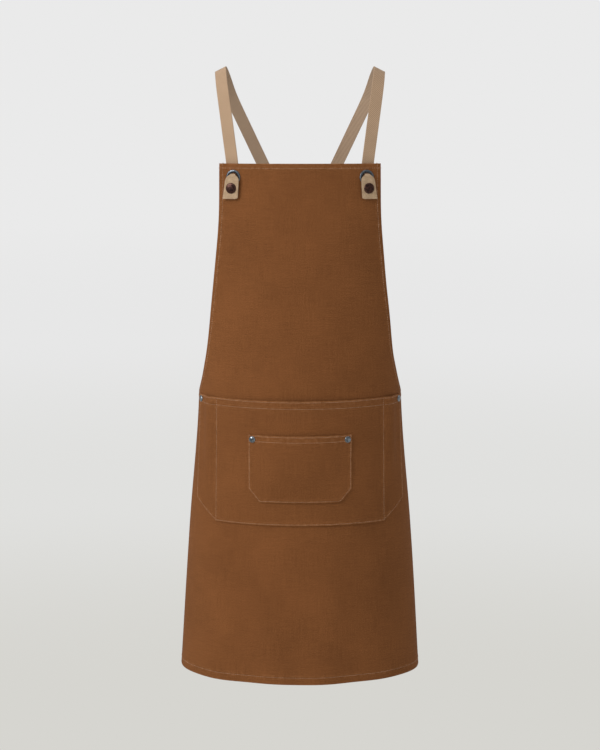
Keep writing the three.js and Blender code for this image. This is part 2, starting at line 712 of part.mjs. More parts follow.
/** Side loop: a flat band sewn behind the skirt's side edge, with the strap through it. */
function sideLoopGeometry(sign) {
  const stadium = (grow) => {
    const r = LOOP_MOUTH / 2 + grow;
    const left = -LOOP_TAIL + LOOP_MOUTH / 2 + LOOP_BAND;
    const right = LOOP_REACH - LOOP_MOUTH / 2 - LOOP_BAND;
    const outline = new THREE.Shape();
    outline.moveTo(left, -r);
    outline.lineTo(right, -r);
    outline.absarc(right, 0, r, -Math.PI / 2, Math.PI / 2, false);
    outline.lineTo(left, r);
    outline.absarc(left, 0, r, Math.PI / 2, (3 * Math.PI) / 2, false);
    return outline;
  };
  const band = stadium(LOOP_BAND);
  band.holes.push(new THREE.Path(stadium(0).getPoints(6)));
  const geometry = new THREE.ExtrudeGeometry(band, {
    depth: LOOP_HEIGHT,
    bevelEnabled: false,
    curveSegments: 6,
  });
  geometry.translate(0, 0, -LOOP_HEIGHT / 2);
  const { point, normal, side } = clothFrame(sign * SKIRT_HALF_ARC, LOOP_DEPTH);
  point.addScaledVector(normal, LOOP_RAISE);
  const outward = side.multiplyScalar(sign);
  const upright = new THREE.Vector3().crossVectors(outward, normal);
  const seat = new THREE.Matrix4().makeBasis(outward, normal, upright).setPosition(point);
  return weld(geometry).applyMatrix4(seat);
}

const KNOT_Z = -BIB_DROP - LOOP_DEPTH - TIE_DROP;

/** Waist tie: the webbing's run from the side loop to the knot at the centre back. */
function tieGeometry(sign) {
  const frame = clothFrame(sign * SKIRT_HALF_ARC, LOOP_DEPTH);
  const from = (out) => besideLoop(sign, out, TIE_RAISE, -TIE_DROP);
  const end = new THREE.Vector3(sign * (KNOT.width / 2 + SEAM_GAP), KNOT_BACK, KNOT_Z);
  const turn = from(LOOP_CENTRE_OUT + 24);
  const middle = turn.clone().lerp(end, 0.55).add(new THREE.Vector3(0, 5, -1));
  const back = new THREE.Vector3(0, 1, 0);
  return ribbonGeometry([
    station(from(LOOP_CENTRE_OUT - WEBBING_WIDTH / 2), frame.normal),
    station(from(LOOP_CENTRE_OUT), frame.normal),
    station(turn, frame.normal),
    station(middle, new THREE.Vector3(sign * 0.25, 1, 0)),
    station(end.clone().add(new THREE.Vector3(sign * 14, -1, 0)), back),
    station(end, back),
  ], 12);
}

/** Knot at the centre back. */
function knotGeometry() {
  const outline = new THREE.Shape();
  const corner = 6;
  const x = KNOT.width / 2;
  const z = KNOT.height / 2;
  outline.moveTo(-x + corner, -z);
  outline.lineTo(x - corner, -z);
  outline.lineTo(x, -z + corner);
  outline.lineTo(x, z - corner);
  outline.lineTo(x - corner, z);
  outline.lineTo(-x + corner, z);
  outline.lineTo(-x, z - corner);
  outline.lineTo(-x, -z + corner);
  const geometry = new THREE.ExtrudeGeometry(outline, { depth: KNOT.thick, bevelEnabled: false });
  geometry.rotateX(Math.PI / 2);
  return weld(geometry.translate(0, KNOT_BACK + KNOT.thick / 2, KNOT_Z));
}

// How far the faces of the ties' hanging ends turn from side to side, as a slope.
const TAIL_TURN = 0.35;

// Hanging ends of the ties below the knot: points chosen by hand, from the knot down.
const TAIL_ROUTES = {
  left: [
    [-4, 222.5, -0.5], [-4, 222.6, -12], [-8, 224.5, -32], [-13, 226.5, -51], [-17, 227.5, -70],
    [-20, 228, -89], [-22.5, 228, -108], [-24, 227.5, -127], [-25, 226.5, -146], [-26, 225.5, -165],
    [-27.5, 224.5, -184], [-29.5, 224, -203], [-31.5, 224, -222], [-33, 224.5, -241], [-34, 225.5, -262],
  ],
  right: [
    [4, 216.5, -0.5], [4, 216.5, -12], [7.5, 217, -29], [12.5, 218, -46], [16.5, 219, -63],
    [20, 219.5, -80], [23, 219.5, -97], [25, 219, -114], [26, 218.5, -131], [26.5, 218, -148],
    [27.5, 217.5, -165], [29, 217.5, -182], [31, 218, -199], [33, 219, -216], [34.5, 220.5, -236],
  ],
};

/** Hanging end of one tie. */
function tailGeometry(side, sign) {
  const top = KNOT_Z - KNOT.height / 2 - SEAM_GAP;
  const route = TAIL_ROUTES[side];
  const last = route.length - 1;
  return ribbonGeometry(route.map(([x, y, drop], i) => station(
    new THREE.Vector3(x, y, top + drop),
    new THREE.Vector3(sign * TAIL_TURN * Math.sin((2 * Math.PI * i) / last), 1, 0),
  )), 18);
}

// ---- Assembly ------------------------------------------------------------------------------

const FINISH = {
  canvas: { color: 0x784b2a, roughness: 0.92, metalness: 0 },
  tan: { color: 0xac9375, roughness: 0.85, metalness: 0 },
  webbing: { color: 0xb4987a, roughness: 0.9, metalness: 0 },
  gunmetal: { color: 0x6f7577, roughness: 0.3, metalness: 1 },
  copper: { color: 0x4a3630, roughness: 0.35, metalness: 1 },
  steel: { color: 0x9aa2a6, roughness: 0.28, metalness: 1 },
};

const apron = new THREE.Group();

/** Adds one named piece with its own material. */
function add(name, geometry, finish, matrix) {
  const mesh = new THREE.Mesh(geometry, new THREE.MeshStandardMaterial(FINISH[finish]));
  mesh.name = name;
  if (matrix) {
    mesh.applyMatrix4(matrix);
  }
  apron.add(mesh);
}

add('apron_panel', panelGeometry(), 'canvas');
add('pouch_pocket', pouchGeometry(), 'canvas');
add('patch_pocket', patchGeometry(), 'canvas');
add('waist_knot', knotGeometry(), 'webbing');
for (const { side, sign } of SIDES) {
  const eyelet = eyeletFrame(sign);
  const stud = new THREE.Matrix4().makeTranslation(sign * STUD_LEAN, 0, STUD_DROP).premultiply(eyelet);
  add(`eyelet_${side}`, eyeletGeometry(), 'gunmetal', eyelet);
  add(`eyelet_washer_${side}`, washerGeometry(), 'gunmetal', eyelet);
  add(`tab_root_${side}`, tabRootGeometry(sign), 'tan');
  add(`tab_flap_${side}`, tabFlapGeometry(sign), 'tan');
  add(`stud_cap_${side}`, capGeometry(), 'copper', stud);
  add(`stud_socket_${side}`, socketGeometry(), 'copper', stud);
  add(`stud_base_${side}`, studGeometry(), 'copper', stud);
  add(`stud_post_${side}`, postGeometry(), 'copper', stud);
  for (const [pocket, rivet] of [['pouch', POUCH_RIVET], ['patch', PATCH_RIVET]]) {
    const seat = fixingMatrix(sign * rivet.arc, rivet.depth);
    add(`${pocket}_rivet_${side}`, rivetGeometry(rivetSeat(rivet)), 'steel', seat);
    add(`${pocket}_burr_${side}`, burrGeometry(), 'steel', seat);
  }
  add(`strap_${side}`, strapGeometry(sign), 'webbing');
  add(`side_loop_${side}`, sideLoopGeometry(sign), 'canvas');
  add(`waist_tie_${side}`, tieGeometry(sign), 'webbing');
  add(`tie_end_${side}`, tailGeometry(side, sign), 'webbing');
}

export default apron;
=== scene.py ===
"""A worn cross-back bib apron: cloth, hardware and webbing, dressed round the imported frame.

Metres, +Z up, the wearer faces -Y. The cloth lies on a body form that is given by a few
level sections; a place on it is an arc, run sideways from the centre front, and a depth,
run down from the top of the bib.
"""

import logging
import math
from dataclasses import dataclass, field
from enum import Enum
from typing import Callable, Iterable, Sequence

import bmesh
import bpy
import numpy as np
from mathutils import Matrix, Vector


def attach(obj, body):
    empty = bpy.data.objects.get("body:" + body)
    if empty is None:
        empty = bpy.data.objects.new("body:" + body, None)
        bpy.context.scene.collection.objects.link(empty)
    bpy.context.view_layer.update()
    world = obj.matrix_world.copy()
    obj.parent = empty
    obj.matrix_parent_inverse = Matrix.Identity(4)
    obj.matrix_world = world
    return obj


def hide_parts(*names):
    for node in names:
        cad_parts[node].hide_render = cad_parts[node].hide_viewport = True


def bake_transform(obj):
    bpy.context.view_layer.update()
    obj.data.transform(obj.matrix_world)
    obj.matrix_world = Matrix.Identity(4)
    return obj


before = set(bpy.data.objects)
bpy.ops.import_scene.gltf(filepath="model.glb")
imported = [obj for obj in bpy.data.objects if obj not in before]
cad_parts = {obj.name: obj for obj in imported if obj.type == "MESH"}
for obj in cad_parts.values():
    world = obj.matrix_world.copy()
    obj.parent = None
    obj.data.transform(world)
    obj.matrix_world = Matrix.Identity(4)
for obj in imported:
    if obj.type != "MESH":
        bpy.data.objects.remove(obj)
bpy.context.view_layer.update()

LOG = logging.getLogger("apron")
TAU = 2 * math.pi

# Sizes that more than one piece shares.
CLOTH = 0.0012
LEATHER = 0.0016
WEB_WIDTH = 0.020
WEB_THICK = 0.0016
SEAM_GAP = 0.0003
THREAD_PROUD = 0.0001
SKIRT_HALF = 0.300
ARMHOLE_DEPTH = 0.400
EYELET_ARC = 0.107
EYELET_DEPTH = 0.0215

Lift = Callable[[np.ndarray, np.ndarray], np.ndarray]


class Side(Enum):
    """The wearer's two sides as seen from the front, with the sign of x."""

    LEFT = -1
    RIGHT = 1

    @property
    def label(self) -> str:
        """The side's part of a piece's name."""
        return self.name.lower()


class Body(Enum):
    """What a piece rides on."""

    ROOT = "root"
    TAB_LEFT = "tab_left"
    TAB_RIGHT = "tab_right"

    @staticmethod
    def tab(side: Side) -> "Body":
        """The body of one side's strap end."""
        return Body.TAB_LEFT if side is Side.LEFT else Body.TAB_RIGHT


class Slot(Enum):
    """The record's material slots."""

    CANVAS = "canvas"
    TAB = "tab"
    WEBBING = "webbing"
    GUNMETAL = "gunmetal"
    COPPER = "copper"
    RIVET = "rivet"


# ---- Node and mesh helpers -----------------------------------------------------------------


class Bench:
    """Lays out and links the nodes of one material."""

    def __init__(self, name: str) -> None:
        """Starts an empty material with a Principled shader.

        Args:
            name: the material's name.
        """
        self.material = bpy.data.materials.new(name)
        self.material.use_nodes = True
        self.tree = self.material.node_tree
        self.tree.nodes.clear()
        self.shader = self.tree.nodes.new("ShaderNodeBsdfPrincipled")
        output = self.tree.nodes.new("ShaderNodeOutputMaterial")
        self.link(self.shader.outputs[0], output.inputs["Surface"])

    def link(self, source: bpy.types.NodeSocket, target: bpy.types.NodeSocket) -> None:
        """Links one socket to another."""
        self.tree.links.new(source, target)

    def node(self, kind: str, **settings: object) -> bpy.types.Node:
        """Adds a node and sets its properties."""
        made = self.tree.nodes.new(kind)
        for key, value in settings.items():
            setattr(made, key, value)
        return made

    def feed(self, socket: bpy.types.NodeSocket, value: object) -> None:
        """Links a socket to a socket, or sets it to a constant."""
        if isinstance(value, bpy.types.NodeSocket):
            self.link(value, socket)
        else:
            socket.default_value = value

    def constant(self, **values: object) -> None:
        """Sets constants on the shader's own sockets, spaces written as underscores."""
        for key, value in values.items():
            self.shader.inputs[key.replace("_", " ")].default_value = value

    def math(self, operation: str, *values: object, clamp: bool = False) -> bpy.types.NodeSocket:
        """The result of a Math node on constants or sockets."""
        made = self.node("ShaderNodeMath", operation=operation, use_clamp=clamp)
        for socket, value in zip(made.inputs, values):
            self.feed(socket, value)
        return made.outputs[0]

    def mix(self, factor: object, first: object, second: object) -> bpy.types.NodeSocket:
        """A blend of two colours."""
        made = self.node("ShaderNodeMix", data_type="RGBA")
        for number, value in ((0, factor), (6, first), (7, second)):
            self.feed(made.inputs[number], value)
        return made.outputs[2]

    def noise(self, vector: bpy.types.NodeSocket, scale: float, detail: float = 2.0,
              stretch: tuple[float, float, float] = (1, 1, 1)) -> bpy.types.NodeSocket:
        """Noise of about 0 to 1, with its pattern stretched by stretch.

        Args:
            vector: the place it reads.
            scale: features in one metre.
            detail: octaves.
            stretch: factors on the place, so that a small one gives a long feature.

        Returns:
            The noise's value.
        """
        mapping = self.node("ShaderNodeMapping")
        mapping.inputs["Scale"].default_value = stretch
        self.link(vector, mapping.inputs["Vector"])
        made = self.node("ShaderNodeTexNoise")
        made.inputs["Scale"].default_value = scale
        made.inputs["Detail"].default_value = detail
        self.link(mapping.outputs[0], made.inputs["Vector"])
        return made.outputs["Fac"]

    def ramp(self, value: bpy.types.NodeSocket, low: float, high: float,
             start: float = 0.0, end: float = 1.0) -> bpy.types.NodeSocket:
        """A value's share from low to high, as start to end, smooth and held at both ends."""
        made = self.node("ShaderNodeMapRange", interpolation_type="SMOOTHSTEP")
        for name, number in (("From Min", low), ("From Max", high), ("To Min", start), ("To Max", end)):
            made.inputs[name].default_value = number
        self.link(value, made.inputs["Value"])
        return made.outputs[0]

    def attribute(self, name: str) -> bpy.types.NodeSocket:
        """A number that the mesh carries at each point."""
        return self.node("ShaderNodeAttribute", attribute_name=name).outputs["Fac"]

    def flat(self) -> tuple[bpy.types.NodeSocket, bpy.types.NodeSocket, bpy.types.NodeSocket]:
        """The place on the flat cloth in metres: the pair, then its two numbers."""
        pair = self.node("ShaderNodeUVMap", uv_map="flat").outputs[0]
        parts = self.node("ShaderNodeSeparateXYZ")
        self.link(pair, parts.inputs[0])
        return pair, parts.outputs[0], parts.outputs[1]

    def bump(self, height: bpy.types.NodeSocket, distance: float, strength: float = 1.0,
             under: bpy.types.NodeSocket | None = None) -> bpy.types.NodeSocket:
        """A normal bent by a height of 0 to 1 that stands for distance metres."""
        made = self.node("ShaderNodeBump")
        made.inputs["Distance"].default_value = distance
        made.inputs["Strength"].default_value = strength
        self.link(height, made.inputs["Height"])
        if under is not None:
            self.link(under, made.inputs["Normal"])
        return made.outputs[0]


def colour(red: float, green: float, blue: float) -> tuple[float, float, float, float]:
    """A screen colour of 0 to 255 as linear RGBA.

    Args:
        red: red, 0 to 255.
        green: green, 0 to 255.
        blue: blue, 0 to 255.

    Returns:
        The colour as Blender's sockets take it.
    """
    def linear(value: float) -> float:
        """One channel without the screen's curve."""
        share = value / 255
        return share / 12.92 if share <= 0.04045 else ((share + 0.055) / 1.055) ** 2.4
    return linear(red), linear(green), linear(blue), 1.0


def mesh_piece(name: str, points: np.ndarray, faces: Sequence[Sequence[int]],
               material: bpy.types.Material, flat: np.ndarray | None = None,
               numbers: dict[str, np.ndarray] | None = None, crease: float = 38.0,
               closed: bool = True) -> bpy.types.Object:
    """Makes one mesh object with its normals outwards.

    Args:
        name: the piece's name.
        points: its corners, in metres.
        faces: its faces, as corner numbers.
        material: its finish.
        flat: each corner's place on the flat cloth, in metres.
        numbers: named values at each corner for the finish to read.
        crease: edges that turn by more than this many degrees stay sharp.
        closed: whether it is a closed shell, whose normals are then worked out.

    Returns:
        The object, linked to the scene.
    """
    mesh = bpy.data.meshes.new(name)
    mesh.from_pydata([tuple(p) for p in points], [], [tuple(f) for f in faces])
    if flat is not None:
        layer = mesh.uv_layers.new(name="flat")
        corner = np.zeros(len(mesh.loops), np.int32)
        mesh.loops.foreach_get("vertex_index", corner)
        layer.data.foreach_set("uv", np.asarray(flat, np.float32)[corner].ravel())
    for key, values in (numbers or {}).items():
        made = mesh.attributes.new(key, "FLOAT", "POINT")
        made.data.foreach_set("value", np.asarray(values, np.float32))
    if closed:
        work = bmesh.new()
        work.from_mesh(mesh)
        bmesh.ops.recalc_face_normals(work, faces=work.faces)
        work.to_mesh(mesh)
        work.free()
    mesh.materials.append(material)
    mesh.shade_smooth()
    mesh.set_sharp_from_angle(angle=math.radians(crease))
    made = bpy.data.objects.new(name, mesh)
    bpy.context.scene.collection.objects.link(made)
    return made


def joined(name: str, pieces: Sequence[bpy.types.Object]) -> bpy.types.Object:
    """Joins mesh objects into the first one and names it.

    Args:
        name: the joined piece's name.
        pieces: the objects.

    Returns:
        The joined object.
    """
    bpy.ops.object.select_all(action="DESELECT")
    for piece in pieces:
        piece.select_set(True)
    bpy.context.view_layer.objects.active = pieces[0]
    bpy.ops.object.join()
    pieces[0].name = name
    return pieces[0]


def ring_faces(rings: int, around: int, closed: bool) -> list[tuple[int, ...]]:
    """Faces of a tube of rings.

    Args:
        rings: how many rings it has.
        around: corners on each ring.
        closed: whether the last ring joins the first.

    Returns:
        The tube's sides, and its two ends where it isn't closed.
    """
    faces = []
    for i in range(rings if closed else rings - 1):
        here, after = i * around, ((i + 1) % rings) * around
        faces += [(here + j, here + (j + 1) % around, after + (j + 1) % around, after + j)
                  for j in range(around)]
    if not closed:
        faces.append(tuple(reversed(range(around))))
        faces.append(tuple((rings - 1) * around + j for j in range(around)))
    return faces


def smooth(value: np.ndarray | float, low: float, high: float) -> np.ndarray:
    """Smooth 0 to 1 between two values."""
    share = np.clip((np.asarray(value, float) - low) / (high - low), 0, 1)
    return share * share * (3 - 2 * share)


def through(stations: Sequence[Sequence[float]], count: int) -> np.ndarray:
    """Evenly numbered points of a centripetal spline through the stations.

    Args:
        stations: the points it goes through.
        count: how many steps it is cut into.

    Returns:
        count + 1 points.
    """
    knots = np.asarray(stations, float)
    last = len(knots) - 1
    knots = np.vstack([2 * knots[0] - knots[1], knots, 2 * knots[-1] - knots[-2]])
    found = []
    for place in np.linspace(0, last, count + 1):
        i = min(int(place), last - 1)
        share = place - i
        p0, p1, p2, p3 = knots[i:i + 4]
        spans = (p1 - p0, p2 - p1, p3 - p2)
        d0, d1, d2 = (max(np.linalg.norm(span), 1e-9) ** 0.5 for span in spans)
        t1 = ((p1 - p0) / d0 - (p2 - p0) / (d0 + d1) + (p2 - p1) / d1) * d1
        t2 = ((p2 - p1) / d1 - (p3 - p1) / (d1 + d2) + (p3 - p2) / d2) * d1
        found.append(p1 + t1 * share + (3 * (p2 - p1) - 2 * t1 - t2) * share ** 2
                     + (2 * (p1 - p2) + t1 + t2) * share ** 3)
    return np.array(found)


def evenly(line: np.ndarray, step: float) -> np.ndarray:
    """The polyline again, with its own corners kept and no piece longer than step."""
    parts = []
    for a, b in zip(line[:-1], line[1:]):
        count = max(1, math.ceil(np.linalg.norm(b - a) / step))
        parts.append(a + (b - a) * np.linspace(0, 1, count, endpoint=False)[:, None])
    return np.vstack([*parts, line[-1:]])


def run_of(line: np.ndarray) -> np.ndarray:
    """How far along a polyline each of its points is."""
    return np.concatenate([[0], np.cumsum(np.linalg.norm(np.diff(line, axis=0), axis=1))])


def inward(line: np.ndarray, closed: bool = False) -> np.ndarray:
    """Directions that move a flat outline's points one metre in from both edges beside them.

    Args:
        line: the outline, with its inside on its right as depth grows downwards.
        closed: whether its last point joins the first.

    Returns:
        A direction for each point, longer at a corner, so that the edges stay parallel.
    """
    steps = np.diff(np.vstack([line, line[:1]]) if closed else line, axis=0)
    unit = steps / np.linalg.norm(steps, axis=1)[:, None]
    across = np.stack([-unit[:, 1], unit[:, 0]], axis=1)
    before = np.vstack([across[-1:] if closed else across[:1], across])[:len(line)]
    after = (across if closed else np.vstack([across, across[-1:]]))[:len(line)]
    total = before + after
    return total / (1 + np.sum(before * after, axis=1))[:, None]


def distance_to(places: np.ndarray, lines: Iterable[np.ndarray]) -> np.ndarray:
    """How far each flat place is from the nearest of some polylines."""
    best = np.full(len(places), 1.0)
    for line in lines:
        for a, b in zip(line[:-1], line[1:]):
            d = b - a
            share = np.clip((places - a) @ d / max(d @ d, 1e-12), 0, 1)
            best = np.minimum(best, np.linalg.norm(places - a - share[:, None] * d, axis=1))
    return best


# ---- Finishes ------------------------------------------------------------------------------


@dataclass(frozen=True)
class CanvasFinish:
    """Washed brown duck canvas, its thread pitch in metres."""

    dark: tuple[float, float, float] = (96, 58, 29)
    light: tuple[float, float, float] = (137, 86, 48)
    # worn: the colour of rubbed edges, also mixed in beside the seams, partly as wear and partly as a
    # painted highlight on the puckers.
    worn: tuple[float, float, float] = (166, 118, 80)
    pitch: float = 0.00105
    slub: float = 0.26
    grain: float = 640.0
    roughness: float = 0.9

    def material(self) -> bpy.types.Material:
        """The canvas: woven ribs, slubs, faded edges and puckers beside its seams, which are lightened
        partly as wear and partly as a painted highlight on the pucker crests.

        Returns:
            The material, which reads the mesh's flat map and its edge and seam distances.
        """
        b = Bench("canvas")
        pair, u, v = b.flat()
        warp = b.math("SINE", b.math("MULTIPLY", u, TAU / self.pitch))
        weft = b.math("SINE", b.math("MULTIPLY", v, TAU / self.pitch))
        rib = b.math("SINE", b.math("MULTIPLY", b.math("ADD", u, v), TAU / (2.6 * self.pitch)))
        weave = b.math("ADD", b.math("MULTIPLY", warp, weft), b.math("MULTIPLY", rib, 0.55))
        weave = b.math("MULTIPLY_ADD", weave, 0.3, 0.5)
        upright = b.noise(pair, 1.0, 3.0, (820, 26, 1))
        level = b.noise(pair, 1.0, 3.0, (30, 760, 1))
        fuzz = b.noise(pair, self.grain, 2.0)
        cloud = b.noise(pair, 11, 3.0)
        tone = b.math("ADD", b.math("MULTIPLY", upright, self.slub),
                      b.math("MULTIPLY", level, self.slub))
        tone = b.math("ADD", tone, b.math("MULTIPLY", cloud, 0.24))
        tone = b.math("ADD", tone, b.math("MULTIPLY", weave, 0.3))
        tone = b.math("ADD", tone, b.math("MULTIPLY", fuzz, 0.85))
        tone = b.ramp(tone, 0.68, 1.28)
        base = b.mix(tone, colour(*self.dark), colour(*self.light))
        edge = b.ramp(b.attribute("edge"), 0.0, 0.0028, 0.42, 0.0)
        rub = b.math("MULTIPLY", edge, b.ramp(b.noise(pair, 160, 3.0), 0.35, 0.65))
        seam = b.ramp(b.attribute("seam"), 0.0008, 0.0055, 1.0, 0.0)
        # Beside the seams the canvas is lightened in patches: partly wear, partly a painted highlight
        # on the pucker crests.
        crest = b.math("MULTIPLY", seam, b.ramp(b.noise(pair, 190, 2.0), 0.42, 0.68, 0.0, 0.22))
        # The worn edges and the painted seam highlight together.
        edge_wear_and_seam_highlight = b.math("ADD", rub, crest, clamp=True)
        base = b.mix(edge_wear_and_seam_highlight, base, colour(*self.worn))
        b.link(base, b.shader.inputs["Base Color"])
        b.constant(Roughness=self.roughness, Sheen_Weight=0.04, Sheen_Roughness=0.45,
                   Sheen_Tint=(*colour(*self.worn)[:3], 1.0), Specular_IOR_Level=0.12)
        groove = b.ramp(b.attribute("seam"), 0.0, 0.0016, 0.0, 1.0)
        pucker = b.math("MULTIPLY", b.noise(pair, 230, 2.0), seam)
        relief = b.math("ADD", b.math("MULTIPLY", groove, 0.55), b.math("MULTIPLY", pucker, 0.75))
        under = b.bump(relief, 0.0009, 0.8)
        threads = b.math("ADD", b.math("MULTIPLY", weave, 0.7), b.math("MULTIPLY", upright, 0.5))
        threads = b.math("ADD", threads, b.math("MULTIPLY", level, 0.4))
        b.link(b.bump(threads, 0.00022, 0.75, under), b.shader.inputs["Normal"])
        return b.material


@dataclass(frozen=True)
class WebbingFinish:
    """Natural cotton twill webbing, with a greyer inner face whose own colour is painted shade, tuned
    to how the straps' inner faces look in shade.
    """

    outer: tuple[float, float, float] = (190, 160, 131)
    # inner: the inner face's colour, painted shade set apart from the outer colour for the straps'
    # shaded backs.
    inner: tuple[float, float, float] = (187, 161, 136)
    shade: tuple[float, float, float] = (86, 64, 46)
    pitch: float = 0.0036
    half_width: float = WEB_WIDTH / 2
    selvedge: tuple[float, float] = (0.0018, 0.0012)
    roughness: float = 0.86

    def material(self) -> bpy.types.Material:
        """The webbing: slanting twill, woven selvedges and a soft sheen.

        Returns:
            The material, which reads the mesh's flat map and its inner face's mark.
        """
        b = Bench("webbing")
        pair, along, across = b.flat()
        slant = b.math("ADD", b.math("MULTIPLY", along, 1.0), b.math("MULTIPLY", across, 1.25))
        twill = b.math("SINE", b.math("MULTIPLY", slant, TAU / self.pitch))
        threads = b.math("SINE", b.math("MULTIPLY", across, TAU / 0.00082))
        picks = b.math("SINE", b.math("MULTIPLY", along, TAU / 0.00095))
        middle = b.ramp(b.math("ABSOLUTE", across), self.half_width - self.selvedge[0],
                        self.half_width - self.selvedge[1], 1.0, 0.0)
        body = b.math("MULTIPLY", twill, middle)
        selvedge = b.math("MULTIPLY", picks, b.math("SUBTRACT", 1.0, middle))
        height = b.math("ADD", b.math("MULTIPLY", b.math("ADD", body, selvedge), 0.3),
                        b.math("MULTIPLY_ADD", threads, 0.12, 0.5))
        fibre = b.noise(pair, 1.0, 3.0, (420, 1900, 1))
        cloud = b.noise(pair, 40, 2.0)
        tone = b.math("ADD", b.math("MULTIPLY", height, 1.1), b.math("MULTIPLY", fibre, 0.3))
        tone = b.math("ADD", tone, b.math("MULTIPLY", cloud, 0.25))
        tone = b.ramp(tone, 0.42, 1.05)
        # Painted shade: the inner face takes its own colour, standing for the shade on the straps'
        # backs.
        face = b.mix(b.attribute("inner"), colour(*self.outer), colour(*self.inner))
        dim = b.mix(0.62, face, colour(*self.shade))
        b.link(b.mix(tone, dim, face), b.shader.inputs["Base Color"])
        b.constant(Roughness=self.roughness, Sheen_Weight=0.08, Sheen_Roughness=0.5,
                   Specular_IOR_Level=0.15)
        b.link(b.bump(height, 0.00035, 0.8), b.shader.inputs["Normal"])
        return b.material


@dataclass(frozen=True)
class SuedeFinish:
    """Tan split leather of the strap ends."""

    low: tuple[float, float, float] = (150, 124, 97)
    high: tuple[float, float, float] = (186, 160, 130)
    edge: tuple[float, float, float] = (122, 96, 72)
    roughness: float = 0.8

    def material(self) -> bpy.types.Material:
        """The leather: nap, pores and a darker cut edge.

        Returns:
            The material, which reads the mesh's flat map and its edge distance.
        """
        b = Bench("tab_leather")
        pair, _, _ = b.flat()
        nap = b.noise(pair, 650, 4.0)
        cloud = b.noise(pair, 90, 3.0)
        pores = b.node("ShaderNodeTexVoronoi")
        pores.inputs["Scale"].default_value = 1500
        b.link(pair, pores.inputs["Vector"])
        tone = b.math("ADD", b.math("MULTIPLY", nap, 0.6), b.math("MULTIPLY", cloud, 0.5))
        base = b.mix(b.ramp(tone, 0.36, 0.74), colour(*self.low), colour(*self.high))
        cut = b.ramp(b.attribute("edge"), 0.0, 0.0009, 0.75, 0.0)
        b.link(b.mix(cut, base, colour(*self.edge)), b.shader.inputs["Base Color"])
        b.constant(Roughness=self.roughness, Sheen_Weight=0.3, Sheen_Roughness=0.4,
                   Specular_IOR_Level=0.2)
        height = b.math("ADD", b.math("MULTIPLY", nap, 0.7), b.math("MULTIPLY", pores.outputs[0], 0.5))
        b.link(b.bump(height, 0.0002, 0.6), b.shader.inputs["Normal"])
        return b.material


@dataclass(frozen=True)
class MetalFinish:
    """A plated metal with brushing, blotches of tarnish and bright rubbed rims."""

    name: str
    base: tuple[float, float, float]
    tarnish: tuple[float, float, float]
    bright: tuple[float, float, float]
    roughness: float
    blotch: float = 300.0
    rub: float = 0.5

    def material(self) -> bpy.types.Material:
        """The metal, which reads its place and how near the rim each point is.

        Returns:
            The material.
        """
        b = Bench(self.name)
        place = b.node("ShaderNodeTexCoord").outputs["Object"]
        blotch = b.noise(place, self.blotch, 4.0)
        scratch = b.noise(place, 1.0, 2.0, (5200, 700, 1400))
        stain = b.ramp(blotch, 0.4, 0.66)
        base = b.mix(stain, colour(*self.base), colour(*self.tarnish))
        rim = b.ramp(b.attribute("rim"), 0.74, 0.97, 0.0, self.rub)
        rub = b.math("MULTIPLY", rim, b.ramp(scratch, 0.3, 0.6))
        b.link(b.mix(rub, base, colour(*self.bright)), b.shader.inputs["Base Color"])
        b.constant(Metallic=1.0)
        rough = b.math("ADD", b.math("MULTIPLY", stain, 0.16), b.math("MULTIPLY", scratch, 0.12))
        b.link(b.math("ADD", rough, self.roughness - 0.08), b.shader.inputs["Roughness"])
        b.link(b.bump(b.math("ADD", scratch, blotch), 0.00006, 0.5), b.shader.inputs["Normal"])
        return b.material


@dataclass(frozen=True)
class ThreadFinish:
    """Pale topstitching thread."""

    low: tuple[float, float, float] = (134, 92, 60)
    high: tuple[float, float, float] = (186, 142, 105)

    def material(self) -> bpy.types.Material:
        """The thread: twisted plies with slight changes of tone.

        Returns:
            The material, which reads its place.
        """
        b = Bench("thread")
        place = b.node("ShaderNodeTexCoord").outputs["Object"]
        tone = b.ramp(b.noise(place, 260, 3.0), 0.36, 0.64)
        ply = b.noise(place, 3400, 1.0)
        b.link(b.mix(tone, colour(*self.low), colour(*self.high)), b.shader.inputs["Base Color"])
        b.constant(Roughness=0.62, Sheen_Weight=0.25, Specular_IOR_Level=0.4)
        b.link(b.bump(ply, 0.0001, 0.5), b.shader.inputs["Normal"])
        return b.material


@dataclass(frozen=True)
class GlowingFloorFinish:
    """Pale studio floor that glows instead of being lit; its glow is painted light, darker near the
    middle below the apron, and clears to the backdrop's white with distance.
    """

    # near: the painted glow just below the apron, the darkest; steps: the glow at larger radii.
    near: tuple[float, float, float] = (214, 213, 208)
    steps: tuple[tuple[float, tuple[float, float, float]], ...] = (
        (6.2, (224, 224, 222)), (12.5, (231, 231, 231)), (30.0, (234, 234, 234)))
    near_radius: float = 3.5

    def material(self) -> bpy.types.Material:
        """The floor's material, which reads the distance from the apron.

        Returns:
            The material.
        """
        b = Bench("glowing_studio_floor")
        place = b.node("ShaderNodeTexCoord").outputs["Object"]
        length = b.node("ShaderNodeVectorMath", operation="LENGTH")
        b.link(place, length.inputs[0])
        shade, start = colour(*self.near), self.near_radius
        for radius, tint in self.steps:
            shade = b.mix(b.ramp(length.outputs["Value"], start, radius), shade, colour(*tint))
            start = radius
        # Painted light: the floor glows like a lamp, with the studio's light and shade painted into its
        # glow.
        b.link(shade, b.shader.inputs["Emission Color"])
        b.constant(Base_Color=(0, 0, 0, 1), Roughness=1.0, Specular_IOR_Level=0.0,
                   Emission_Strength=1.0)
        return b.material


